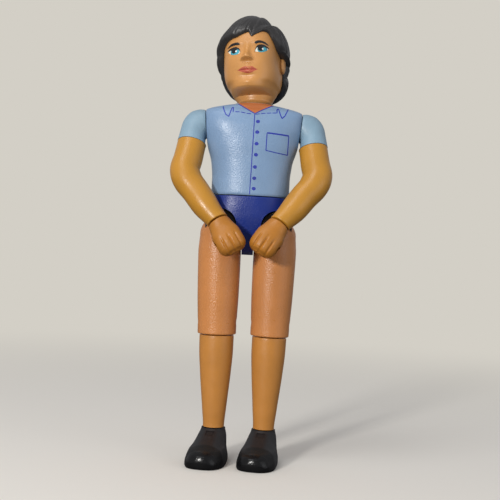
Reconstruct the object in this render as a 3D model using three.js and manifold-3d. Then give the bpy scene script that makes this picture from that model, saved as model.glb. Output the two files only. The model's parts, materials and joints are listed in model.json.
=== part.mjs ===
// A posable doll's-house figure, 1:12: a man in a short-sleeved shirt, standing with both fists in
// front of the hips. Millimetres, +Z up, the figure looks along -Y, its own left side is at +X.
// Hollow torso of two shells, solid limbs, turned studs and straight pins in every joint.
import * as THREE from "three";
import { mergeVertices } from "three/addons/utils/BufferGeometryUtils.js";
import Module from "manifold-3d";

// Clearances and pins
const runningGap = 0.3; // between two pieces that move on each other
const pressGap = 0.25; // round a piece that is pressed or glued in
const shellSeamGap = 0.1; // between the front and the back shell of the torso
const pinRadius = 1.1; // hip and knee pins
const pinRecess = 0.5; // pin ends below the surface

// Heights of the joints above the floor
const ankleHeight = 11.1;
const kneeHeight = 46.2;
const hipHeight = 75.3;
const hipToWaist = 13.4; // hip axis to the lower edge of the torso
const waistToShoulder = 23.9; // lower edge of the torso to the shoulder axis
const waistToNeckBall = 36.3; // lower edge of the torso to the centre of the neck ball

// Shoe: half widths and reaches from the ankle axis
const soleHalfWidth = 6.2;
const soleThickness = 2.2;
const toeReach = 18.4;
const heelReach = 6.3;
const toeCapHeight = 5.2;
const shoeTopRadius = 3.95;
const shoeYaw = 10.5; // both toes point this many degrees towards the figure's right
const anklePegRadius = 2.2;
const anklePegLength = 6;

// Shin
const ankleHalfSpacing = 8.4;
const ankleRadius = 3.55;
const calfRadius = 5.2;
const shinTopRadius = 5.75;
const knuckleRadius = 5.3;
const knuckleHalfWidth = 4.4;

// Thigh
const hipHalfSpacing = 9.35;
const domeRadius = 6.8;
const thighUpperRadius = 7.15;
const thighMiddleRadius = 6.93;
const thighRimRadius = 6.45;
const thighRimDrop = 4; // knee axis to the lower rim of the thigh
const kneeCheekRadius = 3.65;
const tongueHalfWidth = 1.3;
const tongueRadius = 2.4;

// Hip block: a black drum in a round cut-out of the pelvis
const drumRadius = 5.05;
const drumRise = 3.4; // drum axis above the hip axis
const drumFront = 4.6;
const drumBack = 6.9;
const spreadPinRadius = 1.35;
const flexForward = 26; // degrees of room that the slot in the thigh leaves the tongue
const flexBack = 22;

// Pelvis
const pelvisHalfWidth = 12.55;
const pelvisFront = 9;
const pelvisBack = 10;
const webHalfWidth = 1.9;
const webDrop = 6.2; // lower end of the web between the thighs, below the hip axis
const waistStudRadius = 2.5;
const waistStudDepth = 8;
const waistFlangeRadius = 5;
const waistFlangeThickness = 1.5;

// Torso
const torsoWall = 1.4;
const torsoFloor = 1.8;
const torsoRoof = 3.8; // cavity top below the collar edge
const waistHalfWidth = 12.7;
const chestHalfWidth = 16.9;
const waistHalfDepth = 9.2;
const chestHalfDepth = 9.4;
const collarHalfWidth = 6.7;
const collarDrop = 5.6; // centre of the neck ball down to the collar edge
const shoulderHalfWidth = 15.85; // flat seat of the arm, at the height of the shoulder axis
const shoulderTilt = 4.7; // degrees that the seat leans outwards at the top
const dowelRadius = 1.2;
const dowelBossRadius = 2.4;
const dowelReach = 3;
const dowelHalfSpacing = 8;
const dowelRise = 9;

// Neck and head
const neckBallRadius = 3;
const neckPostRadius = 1.6;
const neckFlangeRadius = 4.2;
const neckFlangeThickness = 1.3;
const neckRadius = 5.5;
const neckEndRadius = 7.85; // the neck ends in a sphere about the ball
const neckOpening = 16; // degrees that the neck's opening widens on each side of the post
const headTurn = 14; // degrees towards the figure's right
const headTilt = 4; // degrees that the head leans towards the figure's right shoulder
const headLift = 10; // degrees that the face looks up
const faceHalfWidth = 9.3;
const faceReach = 12.6;
const skullBack = 10;
const skullHeight = 22.9;
const chinDrop = 2.7;
const noseReach = 2.3;
const earRise = 7.9; // middle of the ear above the neck ball
const hairHalfWidth = 12.4;
const hairFront = 14.4;
const hairBack = 13;
const hairHeight = 24.7;
const napeDrop = 3.1;

// Arm, in its own frame: origin on the shoulder seat, +X out along the shoulder axis, -Z down the arm
const armSwing = 20; // degrees forward of the body
const shoulderRadius = 5.1;
const sleeveHemRadius = 4.85;
const sleeveLength = 7.2; // shoulder axis to the middle of the hem
const upperArmRadius = 4.75;
const elbowRadius = 4.95;
const wristRadius = 3.55;
const elbowDrop = 17.6;
const elbowReach = 7.1;
const forearmDrop = 18.1;
const forearmInward = 10.2;
const spigotRadius = 3;
const spigotLength = 5;
const shoulderPegRadius = 2.1;
const shoulderFlangeRadius = 2.6;
const shoulderFlangeThickness = 1.2;

// Hand
const fistHalfWidth = 4.8;
const fistHalfThickness = 3.6;
const handLength = 12.5;
const gripRadius = 1.6;
const wristPegRadius = 1.5;
const wristPegLength = 6;
const wristCollarRadius = 2;
const fingerGroove = 0.35;

// Facets round each kind of form
const bodySides = 26;
const headSides = 24;
const limbSides = 20;
const handSides = 24;
const ballSides = 16;
const pinSides = 12;

const far = 60; // past every surface, for tools that cut right through
const degrees = Math.PI / 180;
const waistZ = hipHeight + hipToWaist;
const shoulderZ = waistZ + waistToShoulder;
const neckBallZ = waistZ + waistToNeckBall;

const wasm = await Module();
wasm.setup();

// Colours, roughness and metalness of the moulded plastics and the pins.
const finish = (name, color, roughness, metalness = 0) =>
  new THREE.MeshStandardMaterial({ name, color, roughness, metalness });
const skinPlastic = finish("skin_plastic", 0xc98f4c, 0.45);
const thighPlastic = finish("thigh_plastic", 0xc7854f, 0.5);
const shinPlastic = finish("shin_plastic", 0xba7d3e, 0.45);
const shirtPlastic = finish("shirt_plastic", 0x8fa9d2, 0.5);
const sleevePlastic = finish("sleeve_plastic", 0x93b2c8, 0.55);
const pelvisPlastic = finish("pelvis_plastic", 0x24408c, 0.5);
const hairPlastic = finish("hair_plastic", 0x2e2e2f, 0.45);
const blackPlastic = finish("black_plastic", 0x18181a, 0.35);
const studPlastic = finish("stud_plastic", 0xd9d6cc, 0.5);
const pinSteel = finish("pin_steel", 0xb5b8bb, 0.3, 1);

// A closed geometry as a solid that can be joined and cut, its faces turned outwards.
function solid(geometry) {
  const bare = geometry.clone();
  bare.deleteAttribute("normal");
  bare.deleteAttribute("uv");
  const merged = mergeVertices(bare, 1e-4);
  const points = merged.attributes.position;
  const at = (k) => new THREE.Vector3().fromBufferAttribute(points, merged.index.getX(k));
  let volume = 0;
  for (let k = 0; k < merged.index.count; k += 3) volume += at(k).dot(at(k + 1).cross(at(k + 2)));
  const corners = new Uint32Array(merged.index.array);
  if (volume < 0) corners.reverse();
  const vertProperties = new Float32Array(points.array);
  return new wasm.Manifold(new wasm.Mesh({ numProp: 3, vertProperties, triVerts: corners }));
}

// The same geometry on the other side of the body.
function mirrored(geometry) {
  const other = geometry.clone().scale(-1, 1, 1);
  const index = other.index.array;
  for (let i = 0; i < index.length; i += 3) [index[i + 1], index[i + 2]] = [index[i + 2], index[i + 1]];
  return other;
}

// The triangles of a solid.
function meshOf(body) {
  const mesh = body.getMesh();
  const geometry = new THREE.BufferGeometry();
  geometry.setAttribute("position", new THREE.BufferAttribute(mesh.vertProperties, 3));
  geometry.setIndex(new THREE.BufferAttribute(mesh.triVerts, 1));
  return geometry;
}

// A named mesh of a solid, turned over for the figure's right side.
function piece(name, body, material, side = 1) {
  const geometry = meshOf(body);
  const shown = side < 0 ? mirrored(geometry) : geometry;
  shown.computeVertexNormals();
  const made = new THREE.Mesh(shown, material);
  made.name = name;
  return made;
}

const v = (x, y, z) => new THREE.Vector3(x, y, z);

// A skin over closed rings of points, each end closed to the ring's own centre, facing out.
function skin(rings) {
  const sides = rings[0].length;
  const points = rings.flat();
  const faces = [];
  for (let r = 0; r + 1 < rings.length; r++) {
    for (let i = 0; i < sides; i++) {
      const j = (i + 1) % sides;
      const [a, b, c, d] = [r * sides + i, r * sides + j, (r + 1) * sides + j, (r + 1) * sides + i];
      faces.push(a, b, c, a, c, d);
    }
  }
  for (const r of [0, rings.length - 1]) {
    const centre = rings[r].reduce((sum, p) => sum.add(p), v(0, 0, 0)).divideScalar(sides);
    const hub = points.push(centre) - 1;
    for (let i = 0; i < sides; i++) {
      const [a, b] = [r * sides + i, r * sides + ((i + 1) % sides)];
      faces.push(...(r === 0 ? [hub, b, a] : [hub, a, b]));
    }
  }
  const geometry = new THREE.BufferGeometry().setFromPoints(points);
  geometry.setIndex(faces);
  return solid(geometry);
}

// Smooth curves through rows [t, value, value, ...]: cubic, with no overshoot between the rows.
function smooth(rows) {
  const slope = (k, c) => {
    if (k === 0 || k === rows.length - 1) return 0;
    const [before, here, after] = [rows[k - 1], rows[k], rows[k + 1]];
    const left = (here[c] - before[c]) / (here[0] - before[0]);
    const right = (after[c] - here[c]) / (after[0] - here[0]);
    return left * right <= 0 ? 0 : (2 * left * right) / (left + right);
  };
  return (t) => {
    let k = 0;
    while (k < rows.length - 2 && t > rows[k + 1][0]) k++;
    const [a, b] = [rows[k], rows[k + 1]];
    const span = b[0] - a[0];
    const s = THREE.MathUtils.clamp((t - a[0]) / span, 0, 1);
    return a.slice(1).map((value, i) => {
      const c = i + 1;
      const [m0, m1] = [slope(k, c) * span, slope(k + 1, c) * span];
      const bend = (2 * s ** 3 - 3 * s ** 2 + 1) * value + (s ** 3 - 2 * s ** 2 + s) * m0;
      return bend + (3 * s ** 2 - 2 * s ** 3) * b[c] + (s ** 3 - s ** 2) * m1;
    });
  };
}

// One point of an oval with a front, a back and two like sides: power 2 is an ellipse, more is squarer.
function oval(angle, halfWidth, front, back, power) {
  const round = (value) => Math.sign(value) * Math.abs(value) ** (2 / power);
  const y = round(Math.sin(angle));
  return [halfWidth * round(Math.cos(angle)), y < 0 ? front * y : back * y];
}

// Evenly spaced values from one to another, both included.
const ladder = (low, high, steps) =>
  Array.from({ length: steps + 1 }, (_, s) => low + ((high - low) * s) / steps);

// A body of level ovals, from rows [z, half width, front, back, power], at the levels given.
function levelBody(rows, levels, sides, inset = 0) {
  const at = smooth(rows);
  const rings = levels.map((z) => {
    const [w, front, back, power] = at(z);
    return Array.from({ length: sides }, (_, i) => {
      const angle = (2 * Math.PI * (i + 0.5)) / sides;
      return v(...oval(angle, w - inset, front - inset, back - inset, power), z);
    });
  });
  return skin(rings);
}

// The turn that lays a geometry's Y axis along a direction.
const layAlong = (direction) =>
  new THREE.Quaternion().setFromUnitVectors(v(0, 1, 0), direction.clone().normalize());

// A round bar from one point to another.
function rod(from, to, radius, sides = pinSides) {
  const along = to.clone().sub(from);
  const geometry = new THREE.CylinderGeometry(radius, radius, along.length(), sides);
  geometry.applyQuaternion(layAlong(along));
  geometry.translate(...from.clone().add(to).multiplyScalar(0.5).toArray());
  return solid(geometry);
}

// A turned piece: profile of [radius, distance] pairs, distance measured from a point along a direction.
function turned(profile, from, along, sides = pinSides) {
  const points = profile.map(([radius, distance]) => new THREE.Vector2(radius, distance));
  const geometry = new THREE.LatheGeometry(points, sides);
  geometry.applyQuaternion(layAlong(along));
  geometry.translate(...from.toArray());
  return solid(geometry);
}

function ball(centre, radius, sides = ballSides) {
  const geometry = new THREE.SphereGeometry(radius, sides, sides / 2);
  geometry.translate(...centre.toArray());
  return solid(geometry);
}

function block(low, high) {
  const size = high.clone().sub(low);
  const geometry = new THREE.BoxGeometry(...size.toArray());
  geometry.translate(...low.clone().add(high).multiplyScalar(0.5).toArray());
  return solid(geometry);
}

// A flat outline given a thickness along X (outline in Y, Z) or along Y (outline in X, Z).
function plate(shape, axis, from, to) {
  const geometry = new THREE.ExtrudeGeometry(shape, {
    depth: to - from,
    bevelEnabled: false,
    curveSegments: 12,
  });
  const outlineInYZ = new THREE.Matrix4().makeBasis(v(0, 1, 0), v(0, 0, 1), v(1, 0, 0));
  if (axis === "x") geometry.applyMatrix4(outlineInYZ);
  else geometry.rotateX(Math.PI / 2);
  geometry.translate(...(axis === "x" ? [from, 0, 0] : [0, to, 0]));
  return solid(geometry);
}

// An egg: a ball stretched by three half axes.
function egg(centre, rx, ry, rz, sides = 12) {
  const geometry = new THREE.SphereGeometry(1, sides, sides / 2);
  geometry.scale(rx, ry, rz).translate(...centre.toArray());
  return solid(geometry);
}

// Torso: one outer form, hollow, with flat shoulder seats, a floor, a roof and a dish for the neck.
const collarZ = neckBallZ - collarDrop;
const torsoHeight = collarZ - waistZ;
const torsoLevel = (share) => waistZ + share * torsoHeight;
const shoulderAxis = v(Math.cos(shoulderTilt * degrees), 0, -Math.sin(shoulderTilt * degrees));
const shoulderSeat = v(shoulderHalfWidth, 0, shoulderZ);
const torsoRows = [
  [torsoLevel(0), waistHalfWidth, waistHalfDepth, waistHalfDepth, 3],
  [torsoLevel(0.17), waistHalfWidth + 0.1, waistHalfDepth - 0.2, waistHalfDepth - 0.3, 3],
  [torsoLevel(0.35), waistHalfWidth + 0.7, waistHalfDepth - 0.1, waistHalfDepth - 0.4, 3],
  [torsoLevel(0.58), chestHalfWidth - 1.2, chestHalfDepth, chestHalfDepth - 0.4, 3],
  [torsoLevel(0.74), chestHalfWidth, chestHalfDepth - 0.2, chestHalfDepth - 0.4, 3.1],
  [torsoLevel(0.865), chestHalfWidth, chestHalfDepth - 1, chestHalfDepth - 1.2, 3],
  [torsoLevel(0.917), chestHalfWidth - 0.6, chestHalfDepth - 1.9, chestHalfDepth - 1.9, 2.8],
  [torsoLevel(0.943), chestHalfWidth - 2.2, chestHalfDepth - 2.5, chestHalfDepth - 2.4, 2.5],
  [torsoLevel(0.975), collarHalfWidth + 3.9, chestHalfDepth - 2.9, chestHalfDepth - 2.9, 2.2],
  [torsoLevel(1), collarHalfWidth, chestHalfDepth - 3.3, chestHalfDepth - 3.3, 2],
];

// Everything beyond a shoulder seat, on both sides, the seat moved inwards by a depth.
function beyondShoulders(depth) {
  const side = (s) => {
    const slab = new THREE.BoxGeometry(far, far, far);
    slab.translate(far / 2 - depth, 0, 0);
    slab.rotateY(shoulderTilt * degrees);
    slab.translate(...shoulderSeat.toArray());
    return solid(s < 0 ? mirrored(slab) : slab);
  };
  return side(1).add(side(-1));
}

function torsoShell() {
  const levels = [...ladder(torsoLevel(0), torsoLevel(0.86), 7), ...ladder(torsoLevel(0.9), collarZ, 6)];
  const outer = levelBody(torsoRows, levels, bodySides);
  const roofZ = collarZ - torsoRoof;
  const hollow = levelBody(torsoRows, ladder(waistZ + torsoFloor, roofZ, 4), bodySides, torsoWall);
  const dish = ball(v(0, 0, neckBallZ), neckEndRadius + runningGap, bodySides);
  const floorZ = waistZ + torsoFloor;
  const postHole = rod(v(0, 0, roofZ - 1), v(0, 0, neckBallZ), neckPostRadius + runningGap);
  const studHole = rod(v(0, 0, waistZ - 1), v(0, 0, floorZ + 1), waistStudRadius + runningGap);
  let shell = outer.subtract(beyondShoulders(0));
  shell = shell.subtract(hollow.subtract(beyondShoulders(torsoWall)));
  shell = shell.subtract(dish).subtract(postHole).subtract(studHole);
  for (const s of [-1, 1]) {
    const seat = v(s * shoulderSeat.x, 0, shoulderSeat.z);
    const out = v(s * shoulderAxis.x, 0, shoulderAxis.z);
    const bore = rod(
      seat.clone().addScaledVector(out, -3 * torsoWall),
      seat.clone().addScaledVector(out, torsoWall),
      shoulderPegRadius + runningGap,
    );
    shell = shell.subtract(bore);
  }
  return shell;
}

// Places of the dowels that hold the two shells in line: two low, one high between them.
const dowelPlaces = [
  [-dowelHalfSpacing, waistZ + dowelRise],
  [dowelHalfSpacing, waistZ + dowelRise],
  [0, waistZ + 2 * dowelRise],
];

function torsoHalves() {
  const shell = torsoShell();
  const form = levelBody(torsoRows, ladder(torsoLevel(0), torsoLevel(0.9), 5), bodySides, torsoWall / 2);
  const half = shellSeamGap / 2;
  const frontSpace = block(v(-far, -far, 0), v(far, -half, neckBallZ + far));
  const backSpace = block(v(-far, half, 0), v(far, far, neckBallZ + far));
  let front = shell.intersect(frontSpace);
  let back = shell.intersect(backSpace);
  for (const [x, z] of dowelPlaces) {
    const boss = (from, to) => rod(v(x, from, z), v(x, to, z), dowelBossRadius).intersect(form);
    const dowel = rod(v(x, -2, z), v(x, dowelReach, z), dowelRadius);
    front = front.add(boss(-waistHalfDepth, -half)).add(dowel);
    const socket = rod(v(x, -1, z), v(x, dowelReach + pressGap, z), dowelRadius + pressGap);
    back = back.add(boss(half, waistHalfDepth)).subtract(socket);
  }
  return [front, back];
}

// Waist stud: pressed into the pelvis, its flange above the torso floor lets the torso turn on it.
const waistStudFoot = waistZ - waistStudDepth;
function waistStud() {
  const floorTop = waistZ + torsoFloor + runningGap - waistStudFoot;
  return turned(
    [
      [0, 0],
      [waistStudRadius, 0],
      [waistStudRadius, floorTop],
      [waistFlangeRadius, floorTop],
      [waistFlangeRadius, floorTop + waistFlangeThickness],
      [0, floorTop + waistFlangeThickness],
    ],
    v(0, 0, waistStudFoot),
    v(0, 0, 1),
  );
}

// Neck stud: a flange under the torso roof, a post through the dish and a ball in the head.
const neckStudFoot = collarZ - torsoRoof - runningGap - neckFlangeThickness;
function neckStud() {
  const flange = turned(
    [
      [0, 0],
      [neckFlangeRadius, 0],
      [neckFlangeRadius, neckFlangeThickness],
      [neckPostRadius, neckFlangeThickness],
      [neckPostRadius, neckBallZ - neckStudFoot],
      [0, neckBallZ - neckStudFoot],
    ],
    v(0, 0, neckStudFoot),
    v(0, 0, 1),
  );
  return flange.add(ball(v(0, 0, neckBallZ), neckBallRadius));
}

// Pelvis: one moulding with two round cut-outs for the hip blocks and a web between the thighs.
const hipCentre = v(hipHalfSpacing, 0, hipHeight);
const pelvisWallFoot = 1; // lower edge of the wall behind the hip blocks, above the hip axis
function pelvis() {
  const low = hipHeight - webDrop;
  const top = waistZ - runningGap;
  const rise = (share) => low + share * (top - low);
  const width = pelvisHalfWidth;
  const rows = [
    [rise(0), width, 1.5, 1.5, 3],
    [rise(0.05), width, pelvisFront * 0.4, pelvisBack * 0.4, 3],
    [rise(0.15), width, pelvisFront * 0.65, pelvisBack * 0.65, 3],
    [rise(0.33), width, pelvisFront * 0.83, pelvisBack * 0.9, 3.2],
    [rise(0.5), width, pelvisFront * 0.92, pelvisBack, 3.6],
    [rise(0.7), width, pelvisFront * 0.97, pelvisBack * 0.97, 3.4],
    [rise(1), waistHalfWidth - 0.15, waistHalfDepth - 0.15, waistHalfDepth - 0.15, 3],
  ];
  const levels = [...ladder(rise(0), rise(0.1), 2), ...ladder(rise(0.15), rise(1), 7)];
  let body = levelBody(rows, levels, bodySides);
  const below = block(v(webHalfWidth, -far, 0), v(far, far, hipHeight + pelvisWallFoot));
  const drumRoom = rod(
    v(hipCentre.x, -far, hipHeight + drumRise),
    v(hipCentre.x, drumBack + runningGap, hipHeight + drumRise),
    drumRadius + runningGap,
    bodySides,
  );
  const domeRoom = ball(hipCentre, domeRadius + runningGap, bodySides);
  const pinHole = rod(
    v(hipCentre.x, 0, hipHeight + drumRise),
    v(hipCentre.x, far, hipHeight + drumRise),
    spreadPinRadius + runningGap,
  );
  for (const s of [-1, 1]) {
    for (const tool of [below, drumRoom, domeRoom, pinHole]) {
      body = body.subtract(s < 0 ? solid(mirrored(meshOf(tool))) : tool);
    }
  }
  const studBore = rod(v(0, 0, waistStudFoot - pressGap), v(0, 0, waistZ), waistStudRadius + pressGap);
  return body.subtract(studBore);
}

// Leg, in its own frame: origin at the hip axis, -Z down the leg to the ankle, for the left side.
const legLean = Math.atan2(hipHalfSpacing - ankleHalfSpacing, hipHeight - ankleHeight);
const legDown = (height) => -(hipHeight - height) / Math.cos(legLean);
const kneeZ = legDown(kneeHeight);
const ankleZ = legDown(ankleHeight);
const rimZ = kneeZ - thighRimDrop;

// A flat tongue with a round end about the origin, in Y and Z, opened to a fan of two angles.
function tongueShape(radius, reach, front = 0, back = 0) {
  const shape = new THREE.Shape();
  const [a, b] = [Math.PI + front * degrees, -back * degrees];
  const corner = (angle, turn) => [
    radius * Math.cos(angle) + reach * Math.cos(angle + turn),
    radius * Math.sin(angle) + reach * Math.sin(angle + turn),
  ];
  shape.moveTo(...corner(a, -Math.PI / 2));
  shape.lineTo(radius * Math.cos(a), radius * Math.sin(a));
  shape.absarc(0, 0, radius, a, b + 2 * Math.PI, false);
  shape.lineTo(...corner(b, Math.PI / 2));
  shape.closePath();
  return shape;
}

// Hip block: a drum that turns in the pelvis to spread the leg, with a tongue down into the thigh.
function hipBlock() {
  const axis = v(0, 0, drumRise);
  const drum = rod(v(0, -drumFront, drumRise), v(0, drumBack, drumRise), drumRadius, bodySides);
  const pivot = rod(axis, v(0, pelvisBack - 1.9, drumRise), spreadPinRadius);
  const reach = drumRise + drumRadius - 0.5;
  const tongue = plate(tongueShape(tongueRadius, reach), "x", -tongueHalfWidth, tongueHalfWidth);
  const eye = rod(v(-5, 0, 0), v(5, 0, 0), pinRadius + runningGap);
  const domeRoom = ball(v(0, 0, 0), domeRadius + runningGap, bodySides);
  const swingRoom = block(v(-far, 0, -far), v(far, far, pelvisWallFoot + runningGap));
  return drum.add(pivot).subtract(domeRoom).subtract(swingRoom).add(tongue).subtract(eye);
}

// Thigh: a turned form with a ball-shaped top, slotted for the tongue and opened behind the knee.
function thigh() {
  const upper = legDown(hipHeight - 5.3);
  const at = smooth([
    [rimZ, thighRimRadius],
    [(rimZ + upper) / 2, thighMiddleRadius],
    [upper, thighUpperRadius],
    [0, domeRadius],
  ]);
  const side = ladder(rimZ, 0, 8).map((z) => [at(z)[0], z]);
  const dome = ladder(0, 90, 6).slice(1).map((a) => [
    domeRadius * Math.cos(a * degrees),
    domeRadius * Math.sin(a * degrees),
  ]);
  dome[dome.length - 1][0] = 0;
  const form = turned([[0, rimZ], ...side, ...dome], v(0, 0, 0), v(0, 0, 1), limbSides);
  const slotHalf = tongueHalfWidth + runningGap;
  const slotShape = tongueShape(tongueRadius + runningGap, 2 * domeRadius, flexForward, flexBack);
  const slot = plate(slotShape, "x", -slotHalf, slotHalf);
  const cheekGap = knuckleHalfWidth + runningGap;
  const knuckleRoom = ball(v(0, 0, kneeZ), knuckleRadius + runningGap).intersect(
    block(v(-cheekGap, -far, kneeZ - far), v(cheekGap, far, kneeZ + far)),
  );
  const bendRoom = new THREE.Shape();
  bendRoom.moveTo(0, kneeZ - far);
  bendRoom.lineTo(0, kneeZ - kneeCheekRadius);
  bendRoom.absarc(0, kneeZ, kneeCheekRadius, -Math.PI / 2, 0, false);
  bendRoom.lineTo(kneeCheekRadius, kneeZ + shinTopRadius + 2 * runningGap);
  bendRoom.lineTo(far, kneeZ + shinTopRadius + 2 * runningGap);
  bendRoom.lineTo(far, kneeZ - far);
  bendRoom.closePath();
  return form
    .subtract(slot)
    .subtract(knuckleRoom)
    .subtract(plate(bendRoom, "x", -far, far))
    .subtract(rod(v(-far, 0, 0), v(far, 0, 0), pinRadius + pressGap))
    .subtract(rod(v(-far, 0, kneeZ), v(far, 0, kneeZ), pinRadius + pressGap));
}

// A straight pin across the leg, its ends a little below the surface of the thigh.
const crossPin = (z, radius) =>
  rod(v(-radius + pinRecess, 0, z), v(radius - pinRecess, 0, z), pinRadius);

// Shin: a taper from below the thigh to the ankle, a round knuckle above and a peg for the shoe below.
function shin() {
  const top = rimZ - runningGap;
  const height = top - ankleZ;
  const rows = [
    [ankleZ, ankleRadius, ankleRadius, ankleRadius, 2],
    [ankleZ + 0.2 * height, ankleRadius + 0.5, ankleRadius + 0.5, ankleRadius + 0.6, 2],
    [ankleZ + 0.6 * height, calfRadius, calfRadius - 0.1, calfRadius + 0.3, 2],
    [ankleZ + 0.85 * height, shinTopRadius - 0.05, shinTopRadius - 0.1, shinTopRadius - 0.1, 2],
    [top, shinTopRadius, shinTopRadius, shinTopRadius, 2],
  ];
  const leg = levelBody(rows, ladder(ankleZ, top, 8), limbSides);
  const knuckle = ball(v(0, 0, kneeZ), knuckleRadius).intersect(
    block(v(-knuckleHalfWidth, -far, kneeZ - far), v(knuckleHalfWidth, far, kneeZ + far)),
  );
  const peg = rod(v(0, 0, ankleZ - anklePegLength), v(0, 0, ankleZ + 1), anklePegRadius);
  const eye = rod(v(-far, 0, kneeZ), v(far, 0, kneeZ), pinRadius + runningGap);
  return leg.add(knuckle).add(peg).subtract(eye);
}

// Shoe: a slip-on with a high instep, in its own frame: origin on the floor below the ankle.
function shoe() {
  const top = ankleHeight - runningGap;
  const rows = [
    [0, toeReach - 0.9, heelReach - 0.5, soleHalfWidth - 0.5],
    [0.8, toeReach - 0.1, heelReach, soleHalfWidth - 0.1],
    [soleThickness, toeReach, heelReach, soleHalfWidth],
    [toeCapHeight - 1.5, toeReach - 0.9, heelReach - 0.2, soleHalfWidth - 0.2],
    [toeCapHeight, toeReach - 3.4, heelReach - 0.5, soleHalfWidth - 0.7],
    [toeCapHeight + 1, toeReach - 7, heelReach - 0.8, soleHalfWidth - 1.1],
    [0.5 * (toeCapHeight + top) + 0.6, shoeTopRadius + 3, shoeTopRadius + 1, shoeTopRadius + 0.6],
    [top, shoeTopRadius, shoeTopRadius, shoeTopRadius],
  ];
  const at = smooth(rows);
  const capLevels = ladder(soleThickness, toeCapHeight + 1, 6);
  const levels = [0, 0.4, 1.1, ...capLevels, ...ladder(toeCapHeight + 2, top, 3)];
  const rings = levels.map((z) => {
    const [toe, heel, halfWidth] = at(z);
    const middle = (toe - heel) / 2;
    const halfLength = (toe + heel) / 2;
    const broad = 0.16 * Math.min(1, middle / 6); // the ball of the foot is broader than the heel
    return Array.from({ length: headSides }, (_, i) => {
      const angle = (2 * Math.PI * i) / headSides;
      const [x, y] = oval(angle, halfWidth, halfLength, halfLength, 2.25);
      return v(x * (1 - (broad * y) / halfLength), y - middle, z);
    });
  });
  const socket = rod(
    v(0, 0, ankleHeight - anklePegLength - pressGap),
    v(0, 0, ankleHeight + 5),
    anklePegRadius + pressGap,
  );
  return skin(rings).subtract(socket);
}

// Arm, in its own frame. The sleeve's sections fan out about the armpit, from the seam to the hem.
const armAxisAtHem = v(1.2, 0, -5.3).normalize();
const hemCentre = v(shoulderRadius - 0.1, 0, -sleeveLength);
const elbowPoint = v(elbowReach, -0.15, -elbowDrop);
const wristPoint = v(elbowReach - forearmInward, -0.85, -elbowDrop - forearmDrop);

function sleeve() {
  const seam = runningGap;
  const hemAcross = v(-armAxisAtHem.z, 0, armAxisAtHem.x).multiplyScalar(sleeveHemRadius);
  const [hemInner, hemOuter] = [hemCentre.clone().sub(hemAcross), hemCentre.clone().add(hemAcross)];
  const r = shoulderRadius;
  const sections = [
    [seam, -r, seam, r, r],
    [seam + 0.1, -r - 0.4, 1.7, r + 0.05, r],
    [seam + 0.15, -r - 0.9, 4, r - 0.7, r],
    [seam + 0.2, -r - 1.4, 6.2, r - 2.5, r - 0.1],
    [seam + 0.25, -r - 1.9, 7.7, r - 5, r - 0.15],
    [seam + 0.28, -r - 2.4, 8.7, r - 7.9, r - 0.2],
    [hemInner.x, hemInner.z, hemOuter.x, hemOuter.z, sleeveHemRadius],
  ];
  const at = smooth(sections.map((section, k) => [k, ...section]));
  const rings = ladder(0, sections.length - 1, 9).map((k) => {
    const [ix, iz, ox, oz, depth] = at(k);
    return Array.from({ length: limbSides }, (_, i) => {
      const angle = (2 * Math.PI * i) / limbSides;
      const share = (1 + Math.cos(angle)) / 2;
      return v(ix + share * (ox - ix), depth * Math.sin(angle), iz + share * (oz - iz));
    });
  });
  const socket = rod(
    hemCentre.clone().addScaledVector(armAxisAtHem, -spigotLength - pressGap),
    hemCentre.clone().addScaledVector(armAxisAtHem, 5),
    spigotRadius + pressGap,
  );
  const flangeFrom = -torsoWall - runningGap;
  const peg = turned(
    [
      [0, flangeFrom - shoulderFlangeThickness],
      [shoulderFlangeRadius, flangeFrom - shoulderFlangeThickness],
      [shoulderFlangeRadius, flangeFrom],
      [shoulderPegRadius, flangeFrom],
      [shoulderPegRadius, seam + 0.5],
      [0, seam + 0.5],
    ],
    v(0, 0, 0),
    v(1, 0, 0),
  );
  return skin(rings).subtract(socket).add(peg);
}

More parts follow.
